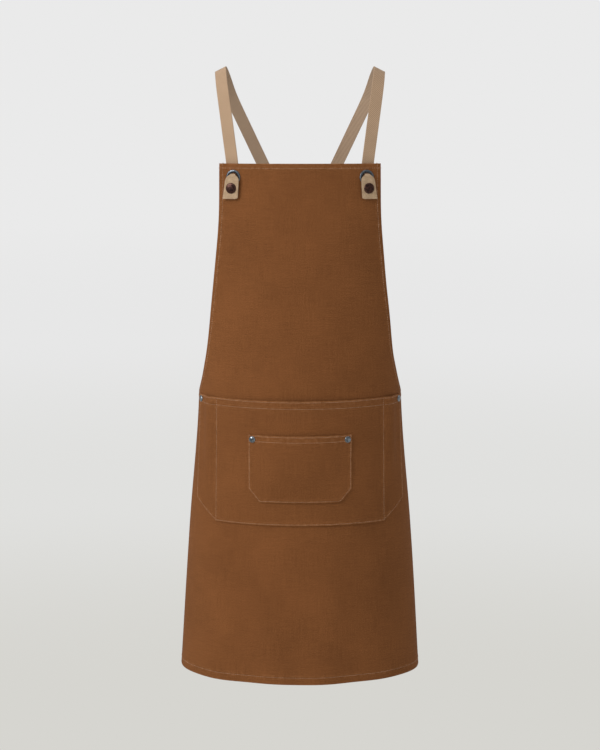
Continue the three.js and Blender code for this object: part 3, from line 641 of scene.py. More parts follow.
@dataclass
class Wardrobe:
    """Every finish of the apron, made once."""

    canvas: bpy.types.Material = field(default_factory=lambda: CanvasFinish().material())
    webbing: bpy.types.Material = field(default_factory=lambda: WebbingFinish().material())
    leather: bpy.types.Material = field(default_factory=lambda: SuedeFinish().material())
    thread: bpy.types.Material = field(default_factory=lambda: ThreadFinish().material())
    gunmetal: bpy.types.Material = field(default_factory=lambda: MetalFinish(
        "gunmetal", (74, 80, 87), (38, 42, 48), (150, 157, 164), 0.28).material())
    copper: bpy.types.Material = field(default_factory=lambda: MetalFinish(
        "antique_copper", (74, 51, 45), (40, 30, 28), (128, 98, 86), 0.32, 420.0, 0.2).material())
    steel: bpy.types.Material = field(default_factory=lambda: MetalFinish(
        "rivet_steel", (122, 128, 134), (70, 76, 82), (196, 202, 208), 0.16, 260.0, 0.35).material())


# ---- The worn surface ----------------------------------------------------------------------


@dataclass
class WornForm:
    """The shape that the worn cloth lies on.

    Each station is a level section: depth, half width, half depth and front face.
    """

    bib_drop: float = 0.1475
    stations: tuple[tuple[float, float, float, float], ...] = (
        (0.0, 0.177, 0.070, 0.0),
        (0.190, 0.1695, 0.094, -0.008),
        (0.380, 0.167, 0.112, -0.014),
        (0.600, 0.185, 0.126, -0.014),
        (0.840, 0.203, 0.139, -0.020),
    )
    reach: float = 0.45
    depth_step: float = 0.004
    arc_step: float = 0.003
    fold: float = 0.0016

    def __post_init__(self) -> None:
        """Works out the angle round the body for a table of arcs and depths."""
        self.table_depths = np.arange(-0.02, 0.88, self.depth_step)
        self.table_arcs = np.arange(0.0, self.reach, self.arc_step)
        turn = np.linspace(0, math.pi * 0.98, 700)
        rows = []
        for wide, deep in zip(self.column(1, self.table_depths), self.column(2, self.table_depths)):
            pace = np.hypot(wide * np.cos(turn), deep * np.sin(turn))
            gone = np.concatenate([[0], np.cumsum((pace[1:] + pace[:-1]) / 2 * np.diff(turn))])
            rows.append(np.interp(self.table_arcs, gone, turn))
        self.table = np.array(rows)

    def column(self, key: int, depth: np.ndarray) -> np.ndarray:
        """Smooth value of one of the stations' numbers at some depths."""
        knots = np.array(self.stations)
        depths, values = knots[:, 0], knots[:, key]
        numbers = np.arange(len(knots))
        low, high = np.maximum(numbers - 1, 0), np.minimum(numbers + 1, len(knots) - 1)
        slopes = (values[high] - values[low]) / (depths[high] - depths[low])
        i = np.clip(np.searchsorted(depths, depth) - 1, 0, len(knots) - 2)
        span = depths[i + 1] - depths[i]
        t = (depth - depths[i]) / span
        return (values[i] * (2 * t ** 3 - 3 * t ** 2 + 1) + values[i + 1] * (3 * t ** 2 - 2 * t ** 3)
                + span * (slopes[i] * (t ** 3 - 2 * t ** 2 + t) + slopes[i + 1] * (t ** 3 - t ** 2)))

    def angle(self, arc: np.ndarray, depth: np.ndarray) -> np.ndarray:
        """Angle round the body's sections at some arcs and depths."""
        row = np.clip((depth - self.table_depths[0]) / self.depth_step, 0,
                      len(self.table_depths) - 1.001)
        col = np.clip(np.abs(arc) / self.arc_step, 0, len(self.table_arcs) - 1.001)
        r, c = row.astype(int), col.astype(int)
        fr, fc = row - r, col - c
        near = self.table[r, c] * (1 - fc) + self.table[r, c + 1] * fc
        far = self.table[r + 1, c] * (1 - fc) + self.table[r + 1, c + 1] * fc
        return np.sign(arc) * (near * (1 - fr) + far * fr)

    def folds(self, arc: np.ndarray, depth: np.ndarray) -> np.ndarray:
        """How far the cloth's soft folds stand off the form, growing towards the hem."""
        skirt = smooth(depth, 0.50, 0.84)
        chest = smooth(depth, 0.05, 0.16) * (1 - smooth(depth, 0.30, 0.37))
        broad = np.sin(TAU * (arc / 0.172 + 0.10 * np.sin(7 * depth) + 0.21))
        fine = np.sin(TAU * (arc / 0.091 - 0.16 * np.sin(5 * depth + 1) + 0.63))
        drag = np.sin(TAU * (arc / 0.13 + depth / 0.31 + 0.4)) * np.sin(TAU * (depth / 0.27 + 0.1))
        return self.fold * (skirt * (broad + 0.5 * fine) + 0.45 * chest * drag)

    def frame(self, arc: float, depth: float, lift: float = 0.0) -> Matrix:
        """A frame on the cloth: x sideways, y outwards, z down.

        Args:
            arc: sideways run from the centre front.
            depth: run down from the top of the bib.
            lift: distance off the cloth's outer face.

        Returns:
            The frame, with its origin on the cloth.
        """
        at, down = np.array([arc]), np.array([depth])
        turn = self.angle(at, down)[0]
        wide, deep = self.column(1, down)[0], self.column(2, down)[0]
        normal = Vector((math.sin(turn) / wide, -math.cos(turn) / deep, 0)).normalized()
        side = Vector((-normal.y, normal.x, 0))
        origin = Vector(self.place(at, down, np.array([lift]))[0])
        made = Matrix((side, normal, Vector((0, 0, -1)))).transposed().to_4x4()
        made.translation = origin
        return made

    def place(self, arc: np.ndarray, depth: np.ndarray, lift: np.ndarray | float) -> np.ndarray:
        """Points of the cloth, lifted off its outer face and with its folds.

        Args:
            arc: sideways runs from the centre front.
            depth: runs down from the top of the bib.
            lift: distances off the outer face.

        Returns:
            One point for each.
        """
        arc, depth = np.asarray(arc, float), np.asarray(depth, float)
        turn = self.angle(arc, depth)
        wide, deep, front = (self.column(key, depth) for key in (1, 2, 3))
        normal = np.stack([np.sin(turn) / wide, -np.cos(turn) / deep], axis=1)
        normal /= np.linalg.norm(normal, axis=1)[:, None]
        off = np.asarray(lift, float) + self.folds(arc, depth)
        return np.stack([wide * np.sin(turn) + normal[:, 0] * off,
                         front + deep * (1 - np.cos(turn)) + normal[:, 1] * off,
                         -self.bib_drop - depth], axis=1)


FORM = WornForm()


@dataclass
class CutCloth:
    """One cut piece of cloth on the form: its outline, its seams and how far it stands off."""

    name: str
    depths: np.ndarray
    half_arc: Callable[[np.ndarray], np.ndarray]
    lift: Lift
    columns: int
    seams: list[np.ndarray]
    outline: np.ndarray
    cloth: float = CLOTH
    inset: float = 0.00095

    def build(self, material: bpy.types.Material) -> bpy.types.Object:
        """Makes the cloth as a thin closed sheet.

        Args:
            material: its finish.

        Returns:
            The piece.
        """
        depths = self.depths.copy()
        depths[0] += self.inset
        depths[-1] -= self.inset
        half = self.half_arc(self.depths)
        slope = np.gradient(half, self.depths)
        half = half - self.inset * np.sqrt(1 + np.minimum(slope ** 2, 16))
        share = np.linspace(-1, 1, self.columns + 1)
        arc = (half[:, None] * share[None, :]).ravel()
        depth = np.repeat(depths, len(share))
        lift = self.lift(arc, depth)
        outer = FORM.place(arc, depth, lift + self.cloth)
        inner = FORM.place(arc, depth, lift)
        rows, cols = len(depths), len(share)
        count = rows * cols
        faces = []
        for i in range(rows - 1):
            for j in range(cols - 1):
                a = i * cols + j
                faces.append((a, a + 1, a + cols + 1, a + cols))
                faces.append((count + a, count + a + cols, count + a + cols + 1, count + a + 1))
        rim = [*range(cols), *(i * cols + cols - 1 for i in range(1, rows)),
               *(count - 1 - j for j in range(1, cols)), *(i * cols for i in range(rows - 2, 0, -1))]
        for a, b in zip(rim, rim[1:] + rim[:1]):
            faces.append((b, a, count + a, count + b))
        flat = np.stack([arc, depth], axis=1)
        edge = distance_to(flat, [self.outline])
        seam = distance_to(flat, self.seams)
        return mesh_piece(self.name, np.vstack([outer, inner]), faces, material,
                          np.vstack([flat, flat]), {"edge": np.tile(edge, 2), "seam": np.tile(seam, 2)})


def fold_strip(name: str, line: np.ndarray, width: float, front: Lift, back: Lift,
               material: bpy.types.Material) -> bpy.types.Object:
    """A turned hem: cloth folded round an edge and laid flat behind it.

    Args:
        name: the piece's name.
        line: the edge, in arcs and depths, with the cloth on its right.
        width: how far in it runs.
        front: how far the edge's front stands off the form.
        back: how far the hem's back stands off the form.
        material: its finish.

    Returns:
        The hem.
    """
    line = evenly(line, 0.006)
    ways = inward(line)
    offsets = np.array([0.00096, 0.0004, 0.0001, 0.0, 0.0001, 0.0005, 0.0012, width / 2, width - 0.0005,
                        width, width, 0.00096])
    heights = np.array([1.02, 0.97, 0.84, 0.5, 0.22, 0.05, 0.0, -0.03, 0.0, 0.12, 0.40, 0.40])
    points, flats = [], []
    for place, way in zip(line, ways):
        spots = place + offsets[:, None] * way
        top = front(spots[:, 0], spots[:, 1])
        low = back(spots[:, 0], spots[:, 1])
        points.append(FORM.place(spots[:, 0], spots[:, 1], low + (top - low) * heights))
        flats.append(spots)
    rings = len(line)
    flat = np.vstack(flats)
    return mesh_piece(name, np.vstack(points), ring_faces(rings, len(offsets), False), material, flat,
                      {"edge": distance_to(flat, [line]), "seam": np.full(len(flat), 0.02)})


# ---- Stitching -----------------------------------------------------------------------------


@dataclass
class Stitching:
    """Rows of topstitching, laid as single stitches along runs on the cloth."""

    thread: bpy.types.Material
    length: float = 0.0027
    gap: float = 0.0009
    radius: float = 0.00035
    runs: list[np.ndarray] = field(default_factory=list)

    def sew(self, line: np.ndarray, lift: Lift) -> None:
        """Adds a run of stitches along a flat line, on a face that stands off the form."""
        line = evenly(line, 0.003)
        height = lift(line[:, 0], line[:, 1]) + THREAD_PROUD
        self.runs.append(FORM.place(line[:, 0], line[:, 1], height))

    def sew_free(self, points: np.ndarray) -> None:
        """Adds a run of stitches along points given in the apron's own frame."""
        self.runs.append(points)

    def tree(self) -> bpy.types.NodeTree:
        """The node tree that lays one stitch after another along each run.

        Returns:
            The tree, whose inputs are the stitch's length, gap and radius.
        """
        tree = bpy.data.node_groups.new("lay_stitches", "GeometryNodeTree")
        face = tree.interface
        face.new_socket("Geometry", in_out="INPUT", socket_type="NodeSocketGeometry")
        sizes = {"Stitch length": self.length, "Gap": self.gap, "Thread radius": self.radius}
        for name, value in sizes.items():
            made = face.new_socket(name, in_out="INPUT", socket_type="NodeSocketFloat")
            made.default_value = value
        face.new_socket("Geometry", in_out="OUTPUT", socket_type="NodeSocketGeometry")
        nodes, links = tree.nodes, tree.links
        given, result = nodes.new("NodeGroupInput"), nodes.new("NodeGroupOutput")
        curve = nodes.new("GeometryNodeMeshToCurve")
        spaced = nodes.new("GeometryNodeResampleCurve")
        spaced.mode = "LENGTH"
        pitch = nodes.new("ShaderNodeMath")
        links.new(given.outputs["Stitch length"], pitch.inputs[0])
        links.new(given.outputs["Gap"], pitch.inputs[1])
        links.new(given.outputs["Geometry"], curve.inputs[0])
        links.new(curve.outputs[0], spaced.inputs["Curve"])
        links.new(pitch.outputs[0], spaced.inputs["Length"])
        ball = nodes.new("GeometryNodeMeshUVSphere")
        ball.inputs["Segments"].default_value = 6
        ball.inputs["Rings"].default_value = 5
        half = nodes.new("ShaderNodeMath")
        half.operation = "MULTIPLY"
        half.inputs[1].default_value = 0.5
        links.new(given.outputs["Stitch length"], half.inputs[0])
        size = nodes.new("ShaderNodeCombineXYZ")
        links.new(half.outputs[0], size.inputs[0])
        links.new(given.outputs["Thread radius"], size.inputs[1])
        links.new(given.outputs["Thread radius"], size.inputs[2])
        turn = nodes.new("FunctionNodeAlignRotationToVector")
        turn.axis = "X"
        links.new(nodes.new("GeometryNodeInputTangent").outputs[0], turn.inputs["Vector"])
        lay = nodes.new("GeometryNodeInstanceOnPoints")
        links.new(spaced.outputs[0], lay.inputs["Points"])
        links.new(ball.outputs["Mesh"], lay.inputs["Instance"])
        links.new(turn.outputs[0], lay.inputs["Rotation"])
        links.new(size.outputs[0], lay.inputs["Scale"])
        real = nodes.new("GeometryNodeRealizeInstances")
        links.new(lay.outputs[0], real.inputs[0])
        soft = nodes.new("GeometryNodeSetShadeSmooth")
        links.new(real.outputs[0], soft.inputs[0])
        dress = nodes.new("GeometryNodeSetMaterial")
        dress.inputs["Material"].default_value = self.thread
        links.new(soft.outputs[0], dress.inputs["Geometry"])
        links.new(dress.outputs[0], result.inputs[0])
        return tree

    def build(self, name: str) -> bpy.types.Object:
        """Lays every run's stitches and turns them into one plain mesh.

        Args:
            name: the piece's name.

        Returns:
            The stitches.
        """
        mesh = bpy.data.meshes.new(name + "_runs")
        points = np.vstack(self.runs)
        edges, start = [], 0
        for run in self.runs:
            edges += [(start + i, start + i + 1) for i in range(len(run) - 1)]
            start += len(run)
        mesh.from_pydata([tuple(p) for p in points], edges, [])
        work = bpy.data.objects.new(name + "_runs", mesh)
        bpy.context.scene.collection.objects.link(work)
        modifier = work.modifiers.new("stitches", "NODES")
        modifier.node_group = self.tree()
        for socket in modifier.node_group.interface.items_tree:
            if socket.in_out == "INPUT" and socket.socket_type == "NodeSocketFloat":
                modifier[socket.identifier] = socket.default_value
        seen = work.evaluated_get(bpy.context.evaluated_depsgraph_get())
        plain = bpy.data.meshes.new_from_object(seen)
        plain.name = name
        bpy.data.objects.remove(work)
        plain.materials.clear()
        plain.materials.append(self.thread)
        made = bpy.data.objects.new(name, plain)
        bpy.context.scene.collection.objects.link(made)
        return made


# ---- Panel and pockets ---------------------------------------------------------------------


@dataclass
class Panel:
    """The canvas panel: bib, armholes and skirt, hemmed all round."""

    wardrobe: Wardrobe
    stitching: Stitching
    length: float = 0.843
    bib_half: float = 0.131
    skirt_half: float = SKIRT_HALF
    armhole: float = ARMHOLE_DEPTH
    cloth: float = CLOTH
    hem_back: float = -0.0031
    side_hem: float = 0.0105
    top_hem: float = 0.0120
    bottom_hem: float = 0.0165
    side_stitch: float = 0.0064
    top_stitch: float = 0.0072
    bottom_stitch: float = 0.0120
    curve_top: float = 0.34
    corner_run: float = 0.014
    hem_bulk: float = 0.00035

    def __post_init__(self) -> None:
        """Works out the armhole's edge."""
        grow = self.skirt_half - self.bib_half
        self.armhole_edge = through([
            (self.bib_half, 0.0),
            (self.bib_half + 0.004, 0.24 * self.armhole),
            (self.bib_half + 0.022, 0.55 * self.armhole),
            (self.bib_half + 0.045, 0.80 * self.armhole),
            (self.bib_half + 0.45 * grow, 0.92 * self.armhole),
            (self.skirt_half, self.armhole),
        ], 60)

    def half_arc(self, depth: np.ndarray) -> np.ndarray:
        """Half the panel's width round the body at some depths."""
        return np.interp(depth, self.armhole_edge[:, 1], self.armhole_edge[:, 0])

    def side_edge(self) -> np.ndarray:
        """The right side's edge from the bib's top corner down to the hem."""
        near_corner = self.armhole_edge[self.armhole_edge[:, 0] < self.skirt_half - self.corner_run]
        straight = [[self.skirt_half, self.armhole], [self.skirt_half, self.length]]
        return np.vstack([near_corner, straight])

    @staticmethod
    def mirrored(line: np.ndarray) -> np.ndarray:
        """The same line on the other side, run the other way."""
        return (line * np.array([-1, 1]))[::-1]

    def build(self) -> list[bpy.types.Object]:
        """Makes the panel and its hems, and sews them.

        Returns:
            The panel, then its hems.
        """
        canvas = self.wardrobe.canvas
        right = self.side_edge()
        top = np.array([[-self.bib_half, 0.0], [self.bib_half, 0.0]])
        bottom = np.array([[self.skirt_half, self.length], [-self.skirt_half, self.length]])
        outline = np.vstack([top, right, bottom[1:], self.mirrored(right)])
        seams = [
            right + inward(right) * self.side_stitch,
            top + np.array([0, self.top_stitch]),
            bottom - np.array([0, self.bottom_stitch]),
        ]
        seams[0][0], seams[0][-1] = right[0] - [self.side_stitch, 0], right[-1] - [self.side_stitch, 0]
        seams.append(self.mirrored(seams[0]))
        depths = np.concatenate([
            np.linspace(0, self.curve_top, 86, endpoint=False),
            np.linspace(self.curve_top, self.armhole, 30, endpoint=False),
            np.linspace(self.armhole, self.length, 112)])
        sheet = CutCloth("apron_cloth", depths, self.half_arc,
                         lambda a, d: np.full_like(a, -self.cloth), 140, seams, outline).build(canvas)
        ground: Lift = lambda a, d: np.zeros_like(a)
        single, crossed = self.behind(0.0), self.behind(self.hem_bulk)
        hems = [
            fold_strip("hem_side_right", right, self.side_hem, ground, single, canvas),
            fold_strip("hem_side_left", self.mirrored(right), self.side_hem, ground, single, canvas),
            fold_strip("hem_top", top, self.top_hem, ground, crossed, canvas),
            fold_strip("hem_bottom", bottom, self.bottom_hem, ground, crossed, canvas),
        ]
        for seam in seams:
            self.stitching.sew(seam, ground)
            self.stitching.sew(seam, single)
        return [sheet, joined("apron_hems", hems)]

    def behind(self, extra: float) -> Lift:
        """How far the back of a hem stands off the form."""
        return lambda a, d: np.full_like(a, self.hem_back - extra)


@dataclass
class Pocket:
    """A pocket with cut-off bottom corners, stitched on at its sides and bottom."""

    name: str
    wardrobe: Wardrobe
    stitching: Stitching
    top: float
    height: float
    half: float
    chamfer: tuple[float, float]
    lift: Lift
    ground: Lift
    mouth_stitches: tuple[float, float]
    side_stitch: float
    mouth_hem: float
    dividers: tuple[float, ...] = ()
    cloth: float = CLOTH
    turned_edge: float = 0.008
    row_step: float = 0.004
    column_step: float = 0.0038

    def half_arc(self, depth: np.ndarray) -> np.ndarray:
        """Half the pocket's width round the body at some depths."""
        across, up = self.chamfer
        return self.half - across * np.clip((depth - (self.top + self.height - up)) / up, 0, 1)

    def around(self) -> np.ndarray:
        """The sewn edge, from the right top corner round the bottom to the left one."""
        across, up = self.chamfer
        low = self.top + self.height
        right = np.array([[self.half, self.top], [self.half, low - up], [self.half - across, low]])
        return np.vstack([right, (right * [-1, 1])[::-1]])

    def face(self, arc: np.ndarray, depth: np.ndarray) -> np.ndarray:
        """How far the pocket's outer face stands off the form."""
        return self.lift(arc, depth) + self.cloth

    def build(self) -> list[bpy.types.Object]:
        """Makes the pocket's cloth and its turned edges, and sews them.

        Returns:
            The cloth, then its turned edges.
        """
        canvas = self.wardrobe.canvas
        sewn = self.around()
        mouth = np.array([[-self.half, self.top], [self.half, self.top]])
        inset = sewn + inward(sewn) * self.side_stitch
        inset[0, 1] = inset[-1, 1] = self.top + 0.001
        reach = self.half - 0.002
        seams = [inset] + [mouth * [reach / self.half, 1] + [0, down] for down in self.mouth_stitches]
        for arc in self.dividers:
            low = self.top + self.height - self.side_stitch
            seams += [np.array([[sign * arc, self.top + 0.002], [sign * arc, low]]) for sign in (-1, 1)]
        up = self.chamfer[1]
        knee = self.top + self.height - up
        count = max(8, int((knee - self.top) / self.row_step))
        depths = np.concatenate([np.linspace(self.top, knee, count, endpoint=False),
                                 np.linspace(knee, self.top + self.height,
                                             max(5, int(up / self.row_step)))])
        columns = max(30, int(self.half * 2 / self.column_step))
        outline = np.vstack([mouth, sewn])
        sheet = CutCloth(self.name + "_cloth", depths, self.half_arc, self.lift, columns, seams,
                         outline).build(canvas)
        low: Lift = lambda a, d: self.ground(a, d) + 0.00005
        inner: Lift = lambda a, d: self.lift(a, d) - 0.0009
        hems = [fold_strip(self.name + "_edge", sewn, self.turned_edge, self.face, low, canvas),
                fold_strip(self.name + "_mouth", mouth, self.mouth_hem, self.face, inner, canvas)]
        for seam in seams:
            self.stitching.sew(seam, self.face)
        return [sheet, joined(self.name + "_hems", hems)]


@dataclass
class Pouch:
    """Both pockets: the wide pouch with its three compartments and the patch pocket on it."""

    wardrobe: Wardrobe
    stitching: Stitching
    pouch_top: float = 0.376
    pouch_height: float = 0.204
    pouch_half: float = 0.194
    divider: float = 0.144
    patch_top: float = 0.4315
    patch_height: float = 0.110
    patch_half: float = 0.083
    turn_in: float = 0.0011
    cloth: float = CLOTH
    pouch_slack: float = 0.0046
    side_slack: float = 0.0036
    patch_slack: float = 0.0036
    rivet_strip: float = 0.019
    pouch_chamfer: tuple[float, float] = (0.050, 0.033)
    patch_chamfer: tuple[float, float] = (0.018, 0.022)
    side_stitch: float = 0.0024
    top_stitch: float = 0.0022
    pouch_closing: tuple[float, float] = (0.07, 0.004)
    side_closing: float = 0.06
    patch_closing: tuple[float, float] = (0.05, 0.003)

    def pouch_lift(self, arc: np.ndarray, depth: np.ndarray) -> np.ndarray:
        """How far the pouch's inner face stands off the form."""
        across = np.abs(arc)
        low = self.pouch_top + self.pouch_height
        full = 1 - smooth(depth, low - self.pouch_closing[0], low - self.pouch_closing[1])
        bow = np.clip(1 - (across / self.divider) ** 2, 0, 1)
        half = (self.pouch_half - self.rivet_strip - self.divider) / 2
        side = np.clip(1 - ((across - self.divider - half) / half) ** 2, 0, 1)
        side_full = 1 - smooth(depth, self.pouch_top + self.side_closing,
                               low - self.pouch_chamfer[1])
        return self.turn_in + np.where(across < self.divider, self.pouch_slack * bow * bow * full,
                                       self.side_slack * side * side_full)

    def patch_lift(self, arc: np.ndarray, depth: np.ndarray) -> np.ndarray:
        """How far the patch pocket's inner face stands off the form."""
        low = self.patch_top + self.patch_height
        full = 1 - smooth(depth, low - self.patch_closing[0], low - self.patch_closing[1])
        bow = np.clip(1 - (arc / (self.patch_half - self.rivet_strip)) ** 2, 0, 1)
        return self.pouch_face(arc, depth) + self.turn_in + self.patch_slack * bow * full

    def pouch_face(self, arc: np.ndarray, depth: np.ndarray) -> np.ndarray:
        """How far the pouch's outer face stands off the form."""
        return self.pouch_lift(arc, depth) + self.cloth

    def build(self) -> tuple[list[bpy.types.Object], list[bpy.types.Object]]:
        """Makes both pockets.

        Returns:
            The pouch's pieces, then the patch pocket's.
        """
        flat: Lift = lambda a, d: np.zeros_like(a)
        pouch = Pocket("pouch", self.wardrobe, self.stitching, self.pouch_top, self.pouch_height,
                       self.pouch_half, self.pouch_chamfer, self.pouch_lift, flat,
                       mouth_stitches=(self.top_stitch, 0.0125), side_stitch=self.side_stitch,
                       mouth_hem=0.0145, dividers=(self.divider,))
        patch = Pocket("patch", self.wardrobe, self.stitching, self.patch_top, self.patch_height,
                       self.patch_half, self.patch_chamfer, self.patch_lift, self.pouch_face,
                       mouth_stitches=(self.top_stitch, 0.0105), side_stitch=self.side_stitch,
                       mouth_hem=0.0125)
        return pouch.build(), patch.build()


# ---- Metal fixings -------------------------------------------------------------------------

# Outlines of turned pieces, as radius and height above the cloth's face.
SOCKET_OUTLINE = (
    (0.0034, 0.0011), (0.0046, 0.0011), (0.0050, 0.0014), (0.0052, 0.0020), (0.0052, 0.0034),
    (0.0049, 0.0035), (0.0036, 0.0035), (0.0034, 0.0030), (0.0037, 0.0020))
STUD_OUTLINE = (
    (0.0, 0.0003), (0.0050, 0.0003), (0.0052, 0.0005), (0.0050, 0.00075), (0.0036, 0.0008),
    (0.0026, 0.0012), (0.0030, 0.0020), (0.0029, 0.0023), (0.0024, 0.0026), (0.0, 0.00265))
DISC_OUTLINE = (
    (0.0, -0.0037), (0.0022, -0.0037), (0.0046, -0.0036), (0.0050, -0.0032), (0.0049, -0.0027),
    (0.0015, -0.0027), (0.0015, 0.0), (0.0, 0.0))
BURR_OUTLINE = (
    (0.0017, -0.0036), (0.0041, -0.0037), (0.0045, -0.0034), (0.0044, -0.0028), (0.0018, -0.0027))


def turned(name: str, profile: Sequence[tuple[float, float]], frame_at: Matrix,
           material: bpy.types.Material, segments: int = 48) -> bpy.types.Object:
    """A turned piece: a closed outline of radius and height, spun about a frame's y axis.

    Args:
        name: the piece's name.
        profile: its corners, as radius and height; ends on the axis where it is solid.
        frame_at: where it stands.
        material: its finish.
        segments: corners round it.

    Returns:
        The piece, with each point's share of the rim's radius.
    """
    widest = max(radius for radius, _ in profile)
    solid = profile[0][0] == 0
    ring_profile = profile[1:-1] if solid else profile
    points, rims, faces = [], [], []
    for k in range(segments):
        turn = TAU * k / segments
        points += [(r * math.cos(turn), h, r * math.sin(turn)) for r, h in ring_profile]
        rims += [r / widest for r, _ in ring_profile]
    count = len(ring_profile)
    last = count - 1 if solid else count
    for k in range(segments):
        here, after = k * count, ((k + 1) % segments) * count
        faces += [(here + i, here + (i + 1) % count, after + (i + 1) % count, after + i)
                  for i in range(last)]
    if solid:
        for at, (radius, height) in ((0, profile[0]), (count - 1, profile[-1])):
            centre = len(points)
            points.append((radius, height, 0.0))
            rims.append(0.0)
            faces += [(centre, k * count + at, ((k + 1) % segments) * count + at)
                      for k in range(segments)]
    placed = np.array([frame_at @ Vector(p) for p in points])
    return mesh_piece(name, placed, faces, material, None, {"rim": np.array(rims)}, 50.0)


def domed(radius: float, base: float, rise: float, steps: int = 9) -> list[tuple[float, float]]:
    """The outline of a dome with a rolled rim, from its rim to its crown."""
    arc = [(radius * math.cos(a), base + 0.0004 + (rise - 0.0004) * math.sin(a))
           for a in np.linspace(0, math.pi / 2, steps)]
    return [(radius - 0.0004, base), *arc[:-1], (0.0, base + rise)]


@dataclass
class Fixings:
    """One side's eyelet, press stud and rivets."""

    side: Side
    wardrobe: Wardrobe
    pouch: Pouch
    bore: float = 0.0069
    flange: float = 0.0118
    crown: float = 0.0016
    eyelet_arc: float = EYELET_ARC
    eyelet_depth: float = EYELET_DEPTH
    hinge_rise: float = 0.0036
    stud_run: float = 0.0211
    tilt: float = math.radians(6)
    cap_radius: float = 0.0085
    tab_front: float = 0.0052
    rivet_radius: float = 0.0055
    rivet_inset: float = 0.0075

    @property
    def eyelet_frame(self) -> Matrix:
        """The frame at the eyelet's centre."""
        return FORM.frame(self.side.value * self.eyelet_arc, self.eyelet_depth)

    @property
    def stud_frame(self) -> Matrix:
        """The frame at the press stud's centre, on the bib's face."""
        lean = self.side.value * self.stud_run * math.sin(self.tilt)
        drop = self.stud_run * math.cos(self.tilt) - self.hinge_rise
        return self.eyelet_frame @ Matrix.Translation((lean, 0, drop))

    def eyelet(self) -> None:
        """Makes the eyelet and the washer behind the cloth."""
        label, metal = self.side.label, self.wardrobe.gunmetal
        middle, half = (self.bore + self.flange) / 2, (self.flange - self.bore) / 2
        ring = [(middle + half * math.cos(a), 0.0003 + (self.crown - 0.0003) * math.sin(a) ** 0.8)
                for a in np.linspace(0, math.pi, 13)]
        barrel = [(self.bore, -0.0044), (self.bore + 0.0006, -0.0049),
                  (self.bore + 0.0020, -0.0049), (self.bore + 0.0026, -0.0045),
                  (self.bore + 0.0024, -0.0041), (self.bore + 0.0008, -0.0038),
                  (self.bore + 0.0007, 0.0002), (self.flange - 0.0003, 0.0002)]
        eyelet = turned(f"eyelet_ring_{label}", [*ring, *barrel], self.eyelet_frame, metal, 64)
        washer = turned(f"eyelet_backing_{label}", [
            (self.bore + 0.0011, -0.0034), (self.flange - 0.0004, -0.0035), (self.flange, -0.0032),
            (self.flange - 0.0003, -0.0028), (self.bore + 0.0014, -0.0027)],
            self.eyelet_frame, metal, 64)
        self.dress(eyelet, Body.ROOT, Slot.GUNMETAL, f"eyelet_{label}")
        self.dress(washer, Body.ROOT, Slot.GUNMETAL, f"eyelet_washer_{label}")

    def press_stud(self) -> None:
        """Makes the cap and socket on the tab, and the stud and disc on the bib."""
        label, metal, at = self.side.label, self.wardrobe.copper, self.stud_frame
        base = self.tab_front + 0.0001
        dome = domed(self.cap_radius, base, 0.0029, 12)
        hollow = [(r, h - 0.00035 * math.exp(-((r - 0.0060) / 0.0007) ** 2)) for r, h in dome]
        cap = turned(f"press_cap_{label}", [
            (0.0, 0.0030), (0.0015, 0.0030), (0.0015, base), *hollow], at, metal, 56)
        socket = turned(f"press_socket_{label}", SOCKET_OUTLINE, at, metal)
        stud = turned(f"press_stud_{label}", STUD_OUTLINE, at, metal)
        disc = turned(f"press_disc_{label}", DISC_OUTLINE, at, metal)
        self.dress(cap, Body.tab(self.side), Slot.COPPER, f"stud_cap_{label}")
        self.dress(socket, Body.tab(self.side), Slot.COPPER, f"stud_socket_{label}")
        self.dress(stud, Body.ROOT, Slot.COPPER, f"stud_base_{label}")
        self.dress(disc, Body.ROOT, Slot.COPPER, f"stud_post_{label}")

    def rivets(self) -> None:
        """Makes the rivets at the pockets' top corners on this side."""
        label, metal, pouch = self.side.label, self.wardrobe.steel, self.pouch
        places = (("pouch", pouch.pouch_half, pouch.pouch_top, pouch.pouch_lift),
                  ("patch", pouch.patch_half, pouch.patch_top, pouch.patch_lift))
        for pocket, half, top, lift in places:
            arc, depth = half - self.rivet_inset, top + self.rivet_inset
            around = np.array([-1, 0, 1]) * self.rivet_radius
            seat = max(lift(arc + around, np.full(3, depth))) + CLOTH + THREAD_PROUD
            at = FORM.frame(self.side.value * arc, depth)
            head = turned(f"{pocket}_rivet_head_{label}", [
                (0.0, -0.0041), (0.0009, -0.0041), (0.0013, -0.0038), (0.0013, seat),
                *domed(self.rivet_radius * 0.96, seat, 0.0025, 10)], at, metal, 40)
            burr = turned(f"{pocket}_rivet_burr_{label}", BURR_OUTLINE, at, metal, 40)
            self.dress(head, Body.ROOT, Slot.RIVET, f"{pocket}_rivet_{label}")
            self.dress(burr, Body.ROOT, Slot.RIVET, f"{pocket}_burr_{label}")

    @staticmethod
    def dress(piece: bpy.types.Object, body: Body, slot: Slot, node: str) -> None:
        """Puts a piece on its body in place of a plain node."""
        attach(piece, body.value)
        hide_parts(node)
        LOG.info("%s for %s", piece.name, node)

    def build(self) -> None:
        """Makes every fixing of this side."""
        self.eyelet()
        self.press_stud()
        self.rivets()


# ---- Webbing -------------------------------------------------------------------------------


@dataclass(frozen=True)
class Station:
    """A point of a ribbon and the way its outer face looks there."""

    point: Vector
    face: Vector


